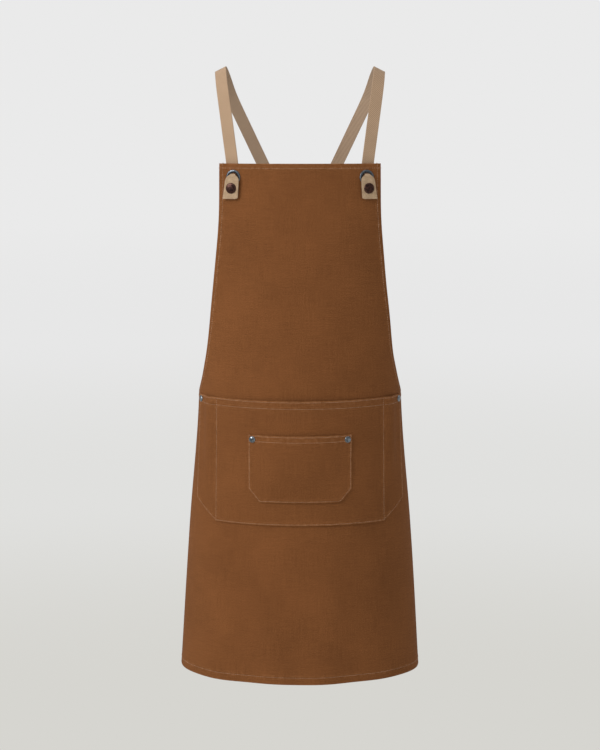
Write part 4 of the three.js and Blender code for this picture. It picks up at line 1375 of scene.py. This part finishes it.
def ribbon(name: str, stations: Sequence[Station], count: int, material: bpy.types.Material,
           width: float = WEB_WIDTH, thick: float = WEB_THICK, skew: tuple[float, float] = (0.0, 0.0),
           widths: Callable[[np.ndarray], np.ndarray] | None = None) -> bpy.types.Object:
    """Flat webbing swept along smooth stations.

    Args:
        name: the piece's name.
        stations: the points it goes through.
        count: steps along it.
        material: its finish.
        width: its width.
        thick: its thickness.
        skew: how far each end is cut on the slant, as run along over run across.
        widths: a factor on the width for each share of the run.

    Returns:
        The piece.
    """
    line = through([s.point for s in stations], count)
    faces_in = np.array([s.face.normalized() for s in stations])
    place = np.linspace(0, len(stations) - 1, count + 1)
    numbers = np.arange(len(stations))
    looks = np.stack([np.interp(place, numbers, column) for column in faces_in.T], axis=1)
    run = run_of(line)
    share = run / run[-1]
    factor = widths(share) if widths else np.ones(len(line))
    edge = width / 2
    across = np.array([-1, -0.97, -0.86, -0.45, 0, 0.45, 0.86, 0.97, 1]) * edge
    profile = [(a, thick / 2 * (0.45 if abs(a) > 0.99 * edge else 1.06 if abs(a) > 0.8 * edge else 1.0))
               for a in across]
    ring = [*profile, *((a, -t) for a, t in reversed(profile))]
    points, flats, inner = [], [], []
    tangents = np.gradient(line, axis=0)
    tangents /= np.linalg.norm(tangents, axis=1)[:, None]
    for i, (middle, along) in enumerate(zip(line, tangents)):
        side = np.cross(looks[i], along)
        side /= np.linalg.norm(side)
        out = np.cross(along, side)
        start = max(0.0, 1 - run[i] / width) * skew[0]
        end = max(0.0, 1 - (run[-1] - run[i]) / width) * skew[1]
        for a, t in ring:
            shift = a * (start + end)
            points.append(middle + side * a * factor[i] + out * t + along * shift)
            flats.append((run[i] + shift, a))
            # Marks the inner face, which the webbing's finish paints with its shaded colour.
            inner.append(1.0 if t < 0 else 0.0)
    return mesh_piece(name, np.array(points), ring_faces(len(line), len(ring), False), material,
                      np.array(flats), {"inner": np.array(inner)})


@dataclass
class Webbing:
    """Both straps, side loops, waist ties, their knot and the hanging ends."""

    wardrobe: Wardrobe
    stitching: Stitching
    skirt_half: float = SKIRT_HALF
    armhole: float = ARMHOLE_DEPTH
    eyelet_arc: float = EYELET_ARC
    eyelet_depth: float = EYELET_DEPTH
    shoulder_half: float = 0.127
    shoulder_back: float = 0.072
    cross_drop: float = 0.284
    lean_start: float = 0.0022
    lean_slope: float = 0.12
    cross_back: float = 0.192
    width: float = WEB_WIDTH
    thick: float = WEB_THICK
    gap: float = SEAM_GAP
    lip_back: float = 0.0053
    bedding: float = 0.0004
    loop_drop: float = 0.016
    loop_height: float = 0.020
    loop_reach: float = 0.027
    loop_tail: float = 0.014
    loop_mouth: float = 0.0055
    loop_band: float = 0.0016
    loop_seat: float = 0.0022
    loop_round: float = 0.0004
    loop_stitches: tuple[float, float] = (-0.0035, -0.0095)
    knot_half: float = 0.015
    knot_height: float = 0.026
    loop_clear: float = 0.0014
    loop_seam_half: float = 0.008
    tie_clear: float = 0.004
    knot_back: float = 0.219
    knot_turn: tuple[float, float] = (0.0150, 0.0024)
    knot_band: tuple[float, float] = (0.0165, 0.0020)
    knot_round: tuple[float, float] = (0.0112, 0.0056)
    tail_turn: float = 0.35
    routes: dict[str, tuple[tuple[float, float, float], ...]] = field(default_factory=lambda: {
        "left": (
            (-4, 222.5, -0.5), (-4, 222.6, -12), (-8, 224.5, -32), (-13, 226.5, -51), (-17, 227.5, -70),
            (-20, 228, -89), (-22.5, 228, -108), (-24, 227.5, -127), (-25, 226.5, -146),
            (-26, 225.5, -165), (-27.5, 224.5, -184), (-29.5, 224, -203), (-31.5, 224, -222),
            (-33, 224.5, -241), (-34, 225.5, -262)),
        "right": (
            (4, 216.5, -0.5), (4, 216.5, -12), (7.5, 217, -29), (12.5, 218, -46), (16.5, 219, -63),
            (20, 219.5, -80), (23, 219.5, -97), (25, 219, -114), (26, 218.5, -131), (26.5, 218, -148),
            (27.5, 217.5, -165), (29, 217.5, -182), (31, 218, -199), (33, 219, -216),
            (34.5, 220.5, -236)),
    })

    def __post_init__(self) -> None:
        """Works out where the loops, ties and knot sit."""
        self.loop_depth = self.armhole + self.loop_drop
        self.loop_lift = -CLOTH - self.loop_seat - self.loop_band - self.loop_mouth / 2
        self.loop_out = self.loop_reach - self.loop_band - self.width / 2 - self.loop_clear
        self.tie_drop = self.loop_height / 2 + self.width / 2 + self.tie_clear
        self.tie_lift = self.loop_lift + self.thick + self.gap
        self.knot_level = -FORM.bib_drop - self.loop_depth - self.tie_drop

    def beside_loop(self, sign: int, out: float, lift: float, above: float) -> Vector:
        """A point beside the skirt's side edge: out past it, lifted off the form, and above."""
        at = FORM.frame(sign * self.skirt_half, self.loop_depth)
        return at @ Vector((sign * out, lift, -above))

    def loop_normal(self, sign: int) -> Vector:
        """The way the cloth looks at a side loop."""
        return FORM.frame(sign * self.skirt_half, self.loop_depth).to_3x3() @ Vector((0, 1, 0))

    def strap(self, side: Side) -> bpy.types.Object:
        """Makes one strap, from behind the bib over the shoulder to the far side's loop.

        Args:
            side: the side of its shoulder.

        Returns:
            The strap.
        """
        sign = side.value
        at = FORM.frame(sign * self.eyelet_arc, self.eyelet_depth)
        normal = at.to_3x3() @ Vector((0, 1, 0))
        web = (-self.lip_back - 2 * self.gap - LEATHER - self.gap - self.thick / 2
               + self.bedding)

        def start(above: float, extra: float = 0.0) -> Vector:
            """A point of the strap behind the bib, above the eyelet's centre."""
            return at @ Vector((sign * self.lean(above), web - extra, -above))

        foot = start(0.0)
        crest = Vector((sign * self.shoulder_half, self.shoulder_back, self.thick / 2))
        crossing = Vector((0, self.cross_back + sign * (self.thick / 2 + self.gap), -self.cross_drop))
        loop_top = self.beside_loop(-sign, self.loop_out, self.loop_lift, 0.040)
        far = self.loop_normal(-sign)

        def between(a: Vector, b: Vector, across: float, back: float, rise: float) -> Vector:
            """A point that is a share of the way from a to b, apart for each axis."""
            return Vector((a.x + (b.x - a.x) * across, a.y + (b.y - a.y) * back,
                           a.z + (b.z - a.z) * rise))

        def look(x: float, y: float, z: float) -> Vector:
            """A face direction, mirrored for the left side."""
            return Vector((sign * x, y, z))

        stations = [
            Station(start(0.001), normal),
            Station(start(0.012), normal),
            Station(start(0.026, 0.0004), normal),
            Station(between(foot, crest, 0.36, 0.06, 0.38), look(0.28, -0.95, 0.05)),
            Station(between(foot, crest, 0.62, 0.18, 0.63), look(0.3, -0.92, 0.2)),
            Station(between(foot, crest, 0.86, 0.4, 0.85), look(0.38, -0.8, 0.5)),
            Station(between(foot, crest, 0.97, 0.68, 0.965), look(0.45, -0.4, 0.8)),
            Station(crest, look(0.45, 0, 0.9)),
            Station(between(crest, crossing, 0.03, 0.3, 0.035), look(0.4, 0.45, 0.8)),
            Station(between(crest, crossing, 0.115, 0.55, 0.152), look(0.3, 0.8, 0.45)),
            Station(between(crest, crossing, 0.333, 0.76, 0.367), look(0.25, 0.95, 0.2)),
            Station(between(crest, crossing, 0.644, 0.92, 0.663), look(0.15, 0.97, 0.1)),
            Station(crossing, look(0, 1, 0.05)),
            Station(between(crossing, loop_top, 0.3, 0.08, 0.3), look(-0.1, 1, 0)),
            Station(between(crossing, loop_top, 0.6, 0.32, 0.6), look(-0.25, 1, 0)),
            Station(between(crossing, loop_top, 0.85, 0.68, 0.84), far),
            Station(loop_top, far),
            Station(self.beside_loop(-sign, self.loop_out, self.loop_lift, 0.014), far),
            Station(self.beside_loop(-sign, self.loop_out, self.loop_lift, -0.012), far),
            Station(self.beside_loop(-sign, self.loop_out, self.loop_lift, -self.tie_drop), far),
        ]
        self.box_stitch(at, sign, web - self.thick / 2)
        return ribbon(f"strap_webbing_{side.label}", stations, 420, self.wardrobe.webbing,
                      self.width, self.thick, (0.0, -sign * 1.0))

    def lean(self, above: float) -> float:
        """How far outwards the strap stands from its eyelet's centre, at a height above it."""
        return self.lean_start + self.lean_slope * above

    def box_stitch(self, at: Matrix, sign: int, lift: float) -> None:
        """Sews a strap's end to its tab behind the bib, as a crossed box."""
        half, low, high = 0.0075, -0.0045, -0.0160
        corners = [(-half, low), (half, low), (half, high), (-half, high), (-half, low), (half, high)]
        for line in (corners, [(-half, high), (half, low)]):
            points = evenly(np.array(line), 0.002)
            self.stitching.sew_free(np.array([at @ Vector((x + sign * self.lean(-z), lift - 0.0002, z))
                                              for x, z in points]))

    def side_loop(self, side: Side) -> bpy.types.Object:
        """Makes one side loop: a flat band of canvas, sewn behind the skirt's edge.

        Args:
            side: its side.

        Returns:
            The loop.
        """
        sign = side.value
        at = FORM.frame(sign * self.skirt_half, self.loop_depth, self.loop_lift)
        radius = self.loop_mouth / 2 + self.loop_band / 2
        left = -self.loop_tail + self.loop_mouth / 2 + self.loop_band
        right = self.loop_reach - self.loop_mouth / 2 - self.loop_band
        bend = np.linspace(0, math.pi, 12)[1:-1]
        centre = [(left + (right - left) * t, -radius) for t in np.linspace(0, 1, 14)]
        centre += [(right + radius * math.sin(a), -radius * math.cos(a)) for a in bend]
        centre += [(right - (right - left) * t, radius) for t in np.linspace(0, 1, 14)]
        centre += [(left - radius * math.sin(a), radius * math.cos(a)) for a in bend]
        path = np.array(centre)
        ahead = np.roll(path, -1, axis=0) - np.roll(path, 1, axis=0)
        ahead /= np.linalg.norm(ahead, axis=1)[:, None]
        out = np.stack([ahead[:, 1], -ahead[:, 0]], axis=1)
        half, thick = self.loop_height / 2, self.loop_band / 2
        flank, soft = half - self.loop_round, thick * 0.4
        section = [(-flank, thick), (flank, thick), (half, soft), (half, -soft),
                   (flank, -thick), (-flank, -thick), (-half, -soft), (-half, soft)]
        points, flats = [], []
        run = run_of(path)
        for i, (spot, way) in enumerate(zip(path, out)):
            for level, off in section:
                x, y = spot + way * off
                points.append(at @ Vector((sign * x, y, level)))
                flats.append((run[i], level))
        for x in self.loop_stitches:
            line = [at @ Vector((sign * x, -radius - thick - THREAD_PROUD, z))
                    for z in np.linspace(-self.loop_seam_half, self.loop_seam_half, 9)]
            self.stitching.sew_free(np.array(line))
        flat = np.array(flats)
        return mesh_piece(f"side_loop_band_{side.label}", np.array(points),
                          ring_faces(len(path), len(section), True), self.wardrobe.canvas, flat,
                          {"edge": half - np.abs(flat[:, 1]), "seam": np.full(len(flat), 0.02)})

    def tie(self, side: Side) -> bpy.types.Object:
        """Makes one waist tie, from the side loop to the knot at the centre back.

        Args:
            side: its side.

        Returns:
            The tie.
        """
        sign = side.value
        normal = self.loop_normal(sign)

        def out_at(out: float) -> Vector:
            """A point of the tie near its loop."""
            return self.beside_loop(sign, out, self.tie_lift, -self.tie_drop)

        end = Vector((sign * (self.knot_half + self.gap), self.knot_back, self.knot_level))
        turn = out_at(self.loop_out + 0.024)
        middle = turn.lerp(end, 0.55) + Vector((0, 0.005, -0.001))
        back = Vector((0, 1, 0))
        stations = [
            Station(out_at(self.loop_out), normal),
            Station(out_at(self.loop_out + 0.010), normal),
            Station(turn, normal),
            Station(middle, Vector((sign * 0.25, 1, 0))),
            Station(end + Vector((sign * 0.014, -0.001, 0)), back),
            Station(end - Vector((sign * 0.004, 0, 0)), back),
        ]
        return ribbon(f"tie_webbing_{side.label}", stations, 110, self.wardrobe.webbing,
                      self.width, self.thick, (-sign * 1.0, 0.0),
                      lambda share: 1 - 0.2 * smooth(share, 0.86, 1.0))

    def knot(self) -> bpy.types.Object:
        """Makes the knot: two gathered lengths that turn about each other, and a band round them.

        Returns:
            The knot.
        """
        pieces = []
        low = -self.knot_height / 2
        for sign, rise, bulge in ((-1, 0.0045, 0.0034), (1, -0.0015, -0.0030)):
            route = [(sign * 0.0150, 0.0, 0.0), (sign * 0.0095, bulge * 0.9, rise * 0.6),
                     (0.0, bulge * 1.25, rise), (-sign * 0.0085, bulge * 0.7, rise * 0.4),
                     (-sign * 0.0112, -bulge * 0.2, -0.0030), (-sign * 0.0060, -bulge * 0.9, -0.0075),
                     (sign * 0.0010, bulge * 0.2, -0.0100), (sign * 0.0040, bulge, low - 0.0004)]
            looks = [(0, 1, 0), (sign * 0.3, 1, 0.2), (0, 1, 0.5), (-sign * 0.8, 0.7, 0.4),
                     (-sign * 1, 0.1, 0.2), (-sign * 0.5, -0.4, 0.2), (0, 1, 0.6), (0, 1, 0)]
            stations = [Station(Vector((x, self.knot_back + y, self.knot_level + z)), Vector(f))
                        for (x, y, z), f in zip(route, looks)]
            pieces.append(ribbon(f"knot_turn_{sign + 1}", stations, 70, self.wardrobe.webbing,
                                 *self.knot_turn,
                                 widths=lambda share: 0.92 + 0.14 * np.cos(TAU * share)))
        stations = []
        tall, deep = self.knot_round
        for a in np.linspace(0, TAU, 17):
            out = Vector((0.16 * math.sin(a), math.cos(a) * tall / deep, math.sin(a)))
            spot = Vector((0.0030 * math.sin(a + 0.5), self.knot_back + deep * math.cos(a),
                           self.knot_level + 0.0004 + tall * math.sin(a)))
            stations.append(Station(spot, out))
        pieces.append(ribbon("knot_band", stations, 96, self.wardrobe.webbing, *self.knot_band,
                             widths=lambda share: 0.84 + 0.16 * np.cos(TAU * 2 * share)))
        return joined("knot_webbing", pieces)

    def route(self, side: Side) -> list[Vector]:
        """The points that a hanging end follows, in metres, from the knot down."""
        top = self.knot_level - self.knot_height / 2 - self.gap
        return [Vector((x / 1000, y / 1000, top + z / 1000)) for x, y, z in self.routes[side.label]]

    def tie_end(self, side: Side) -> bpy.types.Object:
        """Args:
            side: its side.

        Returns:
            The hanging end.
        """
        sign, route = side.value, self.route(side)
        last = len(route) - 1
        stations = [Station(p, Vector((sign * self.tail_turn * math.sin(TAU * i / last), 1, 0)))
                    for i, p in enumerate(route)]
        made = ribbon(f"tie_tail_{side.label}", stations, 120, self.wardrobe.webbing, self.width,
                      self.thick, (0.0, 0.35))
        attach(made, Body.ROOT.value)
        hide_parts(f"tie_end_{side.label}")
        return made

    def build(self) -> None:
        """Makes all the webbing and puts it on the frame."""
        for side in Side:
            for made, node, slot in ((self.strap(side), f"strap_{side.label}", Slot.WEBBING),
                                     (self.side_loop(side), f"side_loop_{side.label}", Slot.CANVAS),
                                     (self.tie(side), f"waist_tie_{side.label}", Slot.WEBBING)):
                Fixings.dress(made, Body.ROOT, slot, node)
            LOG.info("%s", self.tie_end(side).name)
        Fixings.dress(self.knot(), Body.ROOT, Slot.WEBBING, "waist_knot")


# ---- Strap end tabs ------------------------------------------------------------------------


@dataclass
class StrapEnd:
    """The leather end of one strap, which comes through the eyelet and folds down over it."""

    side: Side
    wardrobe: Wardrobe
    fixings: Fixings
    thick: float = LEATHER
    stand_off: float = 0.0036
    free_end: float = 0.0344
    corner: float = 0.004
    half_widths: tuple[tuple[float, float], ...] = (
        (-0.0115, 0.0100), (-0.0072, 0.0046), (-0.0046, 0.0040), (-0.0030, 0.0056),
        (-0.0014, 0.0082), (0.0006, 0.0099), (0.0030, 0.0111), (0.0060, 0.0116), (0.0344, 0.0128))
    leans: tuple[tuple[float, float], ...] = (
        (-0.0185, 0.0044), (-0.0115, 0.0036), (-0.0070, 0.0008))

    def half_width(self, down: float) -> float:
        """Half the tab's width, at a distance below the eyelet's centre."""
        return float(np.interp(down, *zip(*self.half_widths)))

    def lean(self, down: float) -> float:
        """How far outwards the tab's middle stands, at a distance below the eyelet's centre."""
        hinge = -self.fixings.hinge_rise
        swing = (self.free_end - hinge) * math.tan(self.fixings.tilt)
        return float(np.interp(down, *zip(*self.leans, (hinge, 0.0), (self.free_end, swing))))

    def build(self) -> bpy.types.Object:
        """Makes the tab in one length and bends it between the strap and the part that opens.

        Returns:
            The tab.
        """
        sign = self.side.value
        lift = self.stand_off + self.thick / 2
        path = through([
            (-0.0185, -0.0067), (-0.0115, -0.0067), (-0.0080, -0.0067), (-0.0058, -0.0058),
            (-0.0048, -0.0036), (-0.0046, -0.0010), (-0.0045, 0.0018), (-0.0037, 0.0037),
            (-0.0018, lift + 0.0003), (0.0015, lift + 0.0001), (0.0100, lift), (0.0200, lift),
            (self.free_end, lift)], 150)
        run = run_of(path)
        ahead = np.gradient(path, axis=0)
        ahead /= np.linalg.norm(ahead, axis=1)[:, None]
        shares = np.array([-1, -0.9, -0.6, -0.3, 0, 0.3, 0.6, 0.9, 1])
        points, flats, edges = [], [], []
        at = self.fixings.eyelet_frame
        end = run[-1]
        for i, (down, off) in enumerate(path):
            half = self.half_width(down)
            inner = half - self.rounding(end - run[i])
            lean = self.lean(down)
            normal = (-ahead[i, 1], ahead[i, 0])
            for s, t in [*((s, 1) for s in shares), *((s, -1) for s in shares[::-1])]:
                wide = (half if s > 0 else inner) * s
                rounded = self.thick / 2 * (0.55 if abs(s) > 0.95 else 1.0)
                points.append(at @ Vector((sign * (wide + lean), off + normal[1] * t * rounded,
                                           down + normal[0] * t * rounded)))
                flats.append((wide, run[i]))
                edges.append(min(half - abs(wide), end - run[i]))
        made = mesh_piece(f"strap_end_{self.side.label}", np.array(points),
                          ring_faces(len(path), 2 * len(shares), False), self.wardrobe.leather,
                          np.array(flats), {"edge": np.array(edges)})
        Body.tab(self.side).value
        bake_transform(made)
        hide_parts(f"tab_root_{self.side.label}", f"tab_flap_{self.side.label}")
        LOG.info("%s", made.name)
        return made

    def rounding(self, to_end: float) -> float:
        """How far the inner corner is rounded off at a distance from the free end."""
        if to_end >= self.corner:
            return 0.0
        gone = self.corner - to_end
        return self.corner - math.sqrt(max(0.0, self.corner ** 2 - gone ** 2))


# ---- The apron and the studio --------------------------------------------------------------


@dataclass
class Apron:
    """The whole apron."""

    wardrobe: Wardrobe = field(default_factory=Wardrobe)
    panel_area: float = 0.389
    pouch_area: float = 0.0775
    patch_area: float = 0.0179

    def sheet(self, pieces: Sequence[bpy.types.Object], node: str, flat: tuple[float, float],
              area: float, rests_on: Sequence[str]) -> None:
        """Puts a cut cloth and its hems on the frame and hides its plain node.

        Args:
            pieces: the cloth, then what is sewn to it.
            node: the plain node it stands for.
            flat: its cut width and length; not used.
            area: its cut area; not used.
            rests_on: the nodes it is sewn to or hangs from; not used.
        """
        for piece in pieces:
            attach(piece, Body.ROOT.value)
            LOG.info("%s", piece.name)
        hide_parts(node)

    def build(self) -> None:
        """Makes every sub-assembly in order."""
        stitching = Stitching(self.wardrobe.thread)
        panel = Panel(self.wardrobe, stitching)
        pouch = Pouch(self.wardrobe, stitching)
        self.sheet(panel.build(), "apron_panel", (2 * panel.skirt_half, panel.length),
                   self.panel_area, ["strap_left", "strap_right"])
        pouch_pieces, patch_pieces = pouch.build()
        self.sheet(pouch_pieces, "pouch_pocket", (2 * pouch.pouch_half, pouch.pouch_height),
                   self.pouch_area, ["apron_panel"])
        self.sheet(patch_pieces, "patch_pocket", (2 * pouch.patch_half, pouch.patch_height),
                   self.patch_area, ["pouch_pocket"])
        Webbing(self.wardrobe, stitching).build()
        for side in Side:
            fixings = Fixings(side, self.wardrobe, pouch)
            fixings.build()
            StrapEnd(side, self.wardrobe, fixings).build()
        thread = stitching.build("topstitching")
        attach(thread, Body.ROOT.value)
        LOG.info("%s, %d faces", thread.name, len(thread.data.polygons))


@dataclass
class Studio:
    """Pale glowing floor, soft lights and the camera."""

    floor_level: float = -1.9
    floor_radius: float = 60.0
    camera_distance: float = 3.0
    pitch: float = math.radians(8)
    target_height: float = -0.4835
    lens: float = 90.0
    backdrop: tuple[float, float, float] = (234, 234, 234)
    fill: float = 0.66

    def floor(self) -> None:
        """Makes the round floor, which glows with painted light."""
        ring = [(self.floor_radius * math.cos(a), self.floor_radius * math.sin(a), self.floor_level)
                for a in np.linspace(0, TAU, 96, endpoint=False)]
        made = mesh_piece("glowing_studio_floor", np.array(ring), [tuple(range(96))], GlowingFloorFinish().material(),
                          closed=False)

    def world(self) -> None:
        """Shows the backdrop's own white, and lights the room evenly with a share of it."""
        world = bpy.data.worlds.new("studio")
        world.use_nodes = True
        background = world.node_tree.nodes["Background"]
        background.inputs["Color"].default_value = colour(*self.backdrop)
        path = world.node_tree.nodes.new("ShaderNodeLightPath")
        strength = world.node_tree.nodes.new("ShaderNodeMath")
        strength.operation = "MULTIPLY_ADD"
        strength.inputs[1].default_value, strength.inputs[2].default_value = 1 - self.fill, self.fill
        world.node_tree.links.new(path.outputs["Is Camera Ray"], strength.inputs[0])
        world.node_tree.links.new(strength.outputs[0], background.inputs["Strength"])
        bpy.context.scene.world = world

    def light(self, name: str, place: tuple[float, float, float], size: float, power: float) -> None:
        """Adds a square soft light that looks at the apron's middle.

        Args:
            name: its name.
            place: where it hangs.
            size: its side.
            power: its power, in watts.
        """
        data = bpy.data.lights.new(name, "AREA")
        data.size, data.energy = size, power
        made = bpy.data.objects.new(name, data)
        made.location = place
        made.rotation_euler = (Vector((0, 0, -0.5)) - Vector(place)).to_track_quat("-Z", "Y").to_euler()
        bpy.context.scene.collection.objects.link(made)

    def camera(self) -> None:
        """Adds the camera and makes it the scene's own."""
        data = bpy.data.cameras.new("camera")
        data.lens, data.sensor_width, data.clip_end = self.lens, 36.0, 200.0
        made = bpy.data.objects.new("camera", data)
        made.location = (0.0, -self.camera_distance * math.cos(self.pitch),
                         self.target_height + self.camera_distance * math.sin(self.pitch))
        made.rotation_euler = (math.pi / 2 - self.pitch, 0, 0)
        bpy.context.scene.collection.objects.link(made)
        bpy.context.scene.camera = made

    def build(self) -> None:
        """Sets the whole studio up."""
        bpy.context.scene.view_settings.view_transform = "Standard"
        self.floor()
        self.world()
        self.light("key", (-2.8, -2.1, 1.3), 1.8, 98.0)
        self.light("top", (0.3, -0.6, 2.6), 2.4, 14.0)
        self.camera()


def main() -> None:
    """Builds the studio and the apron."""
    logging.basicConfig(level=logging.INFO, format="%(name)s: %(message)s")
    Studio().build()
    Apron().build()
    bpy.context.view_layer.update()


if __name__ == "__main__":
    main()
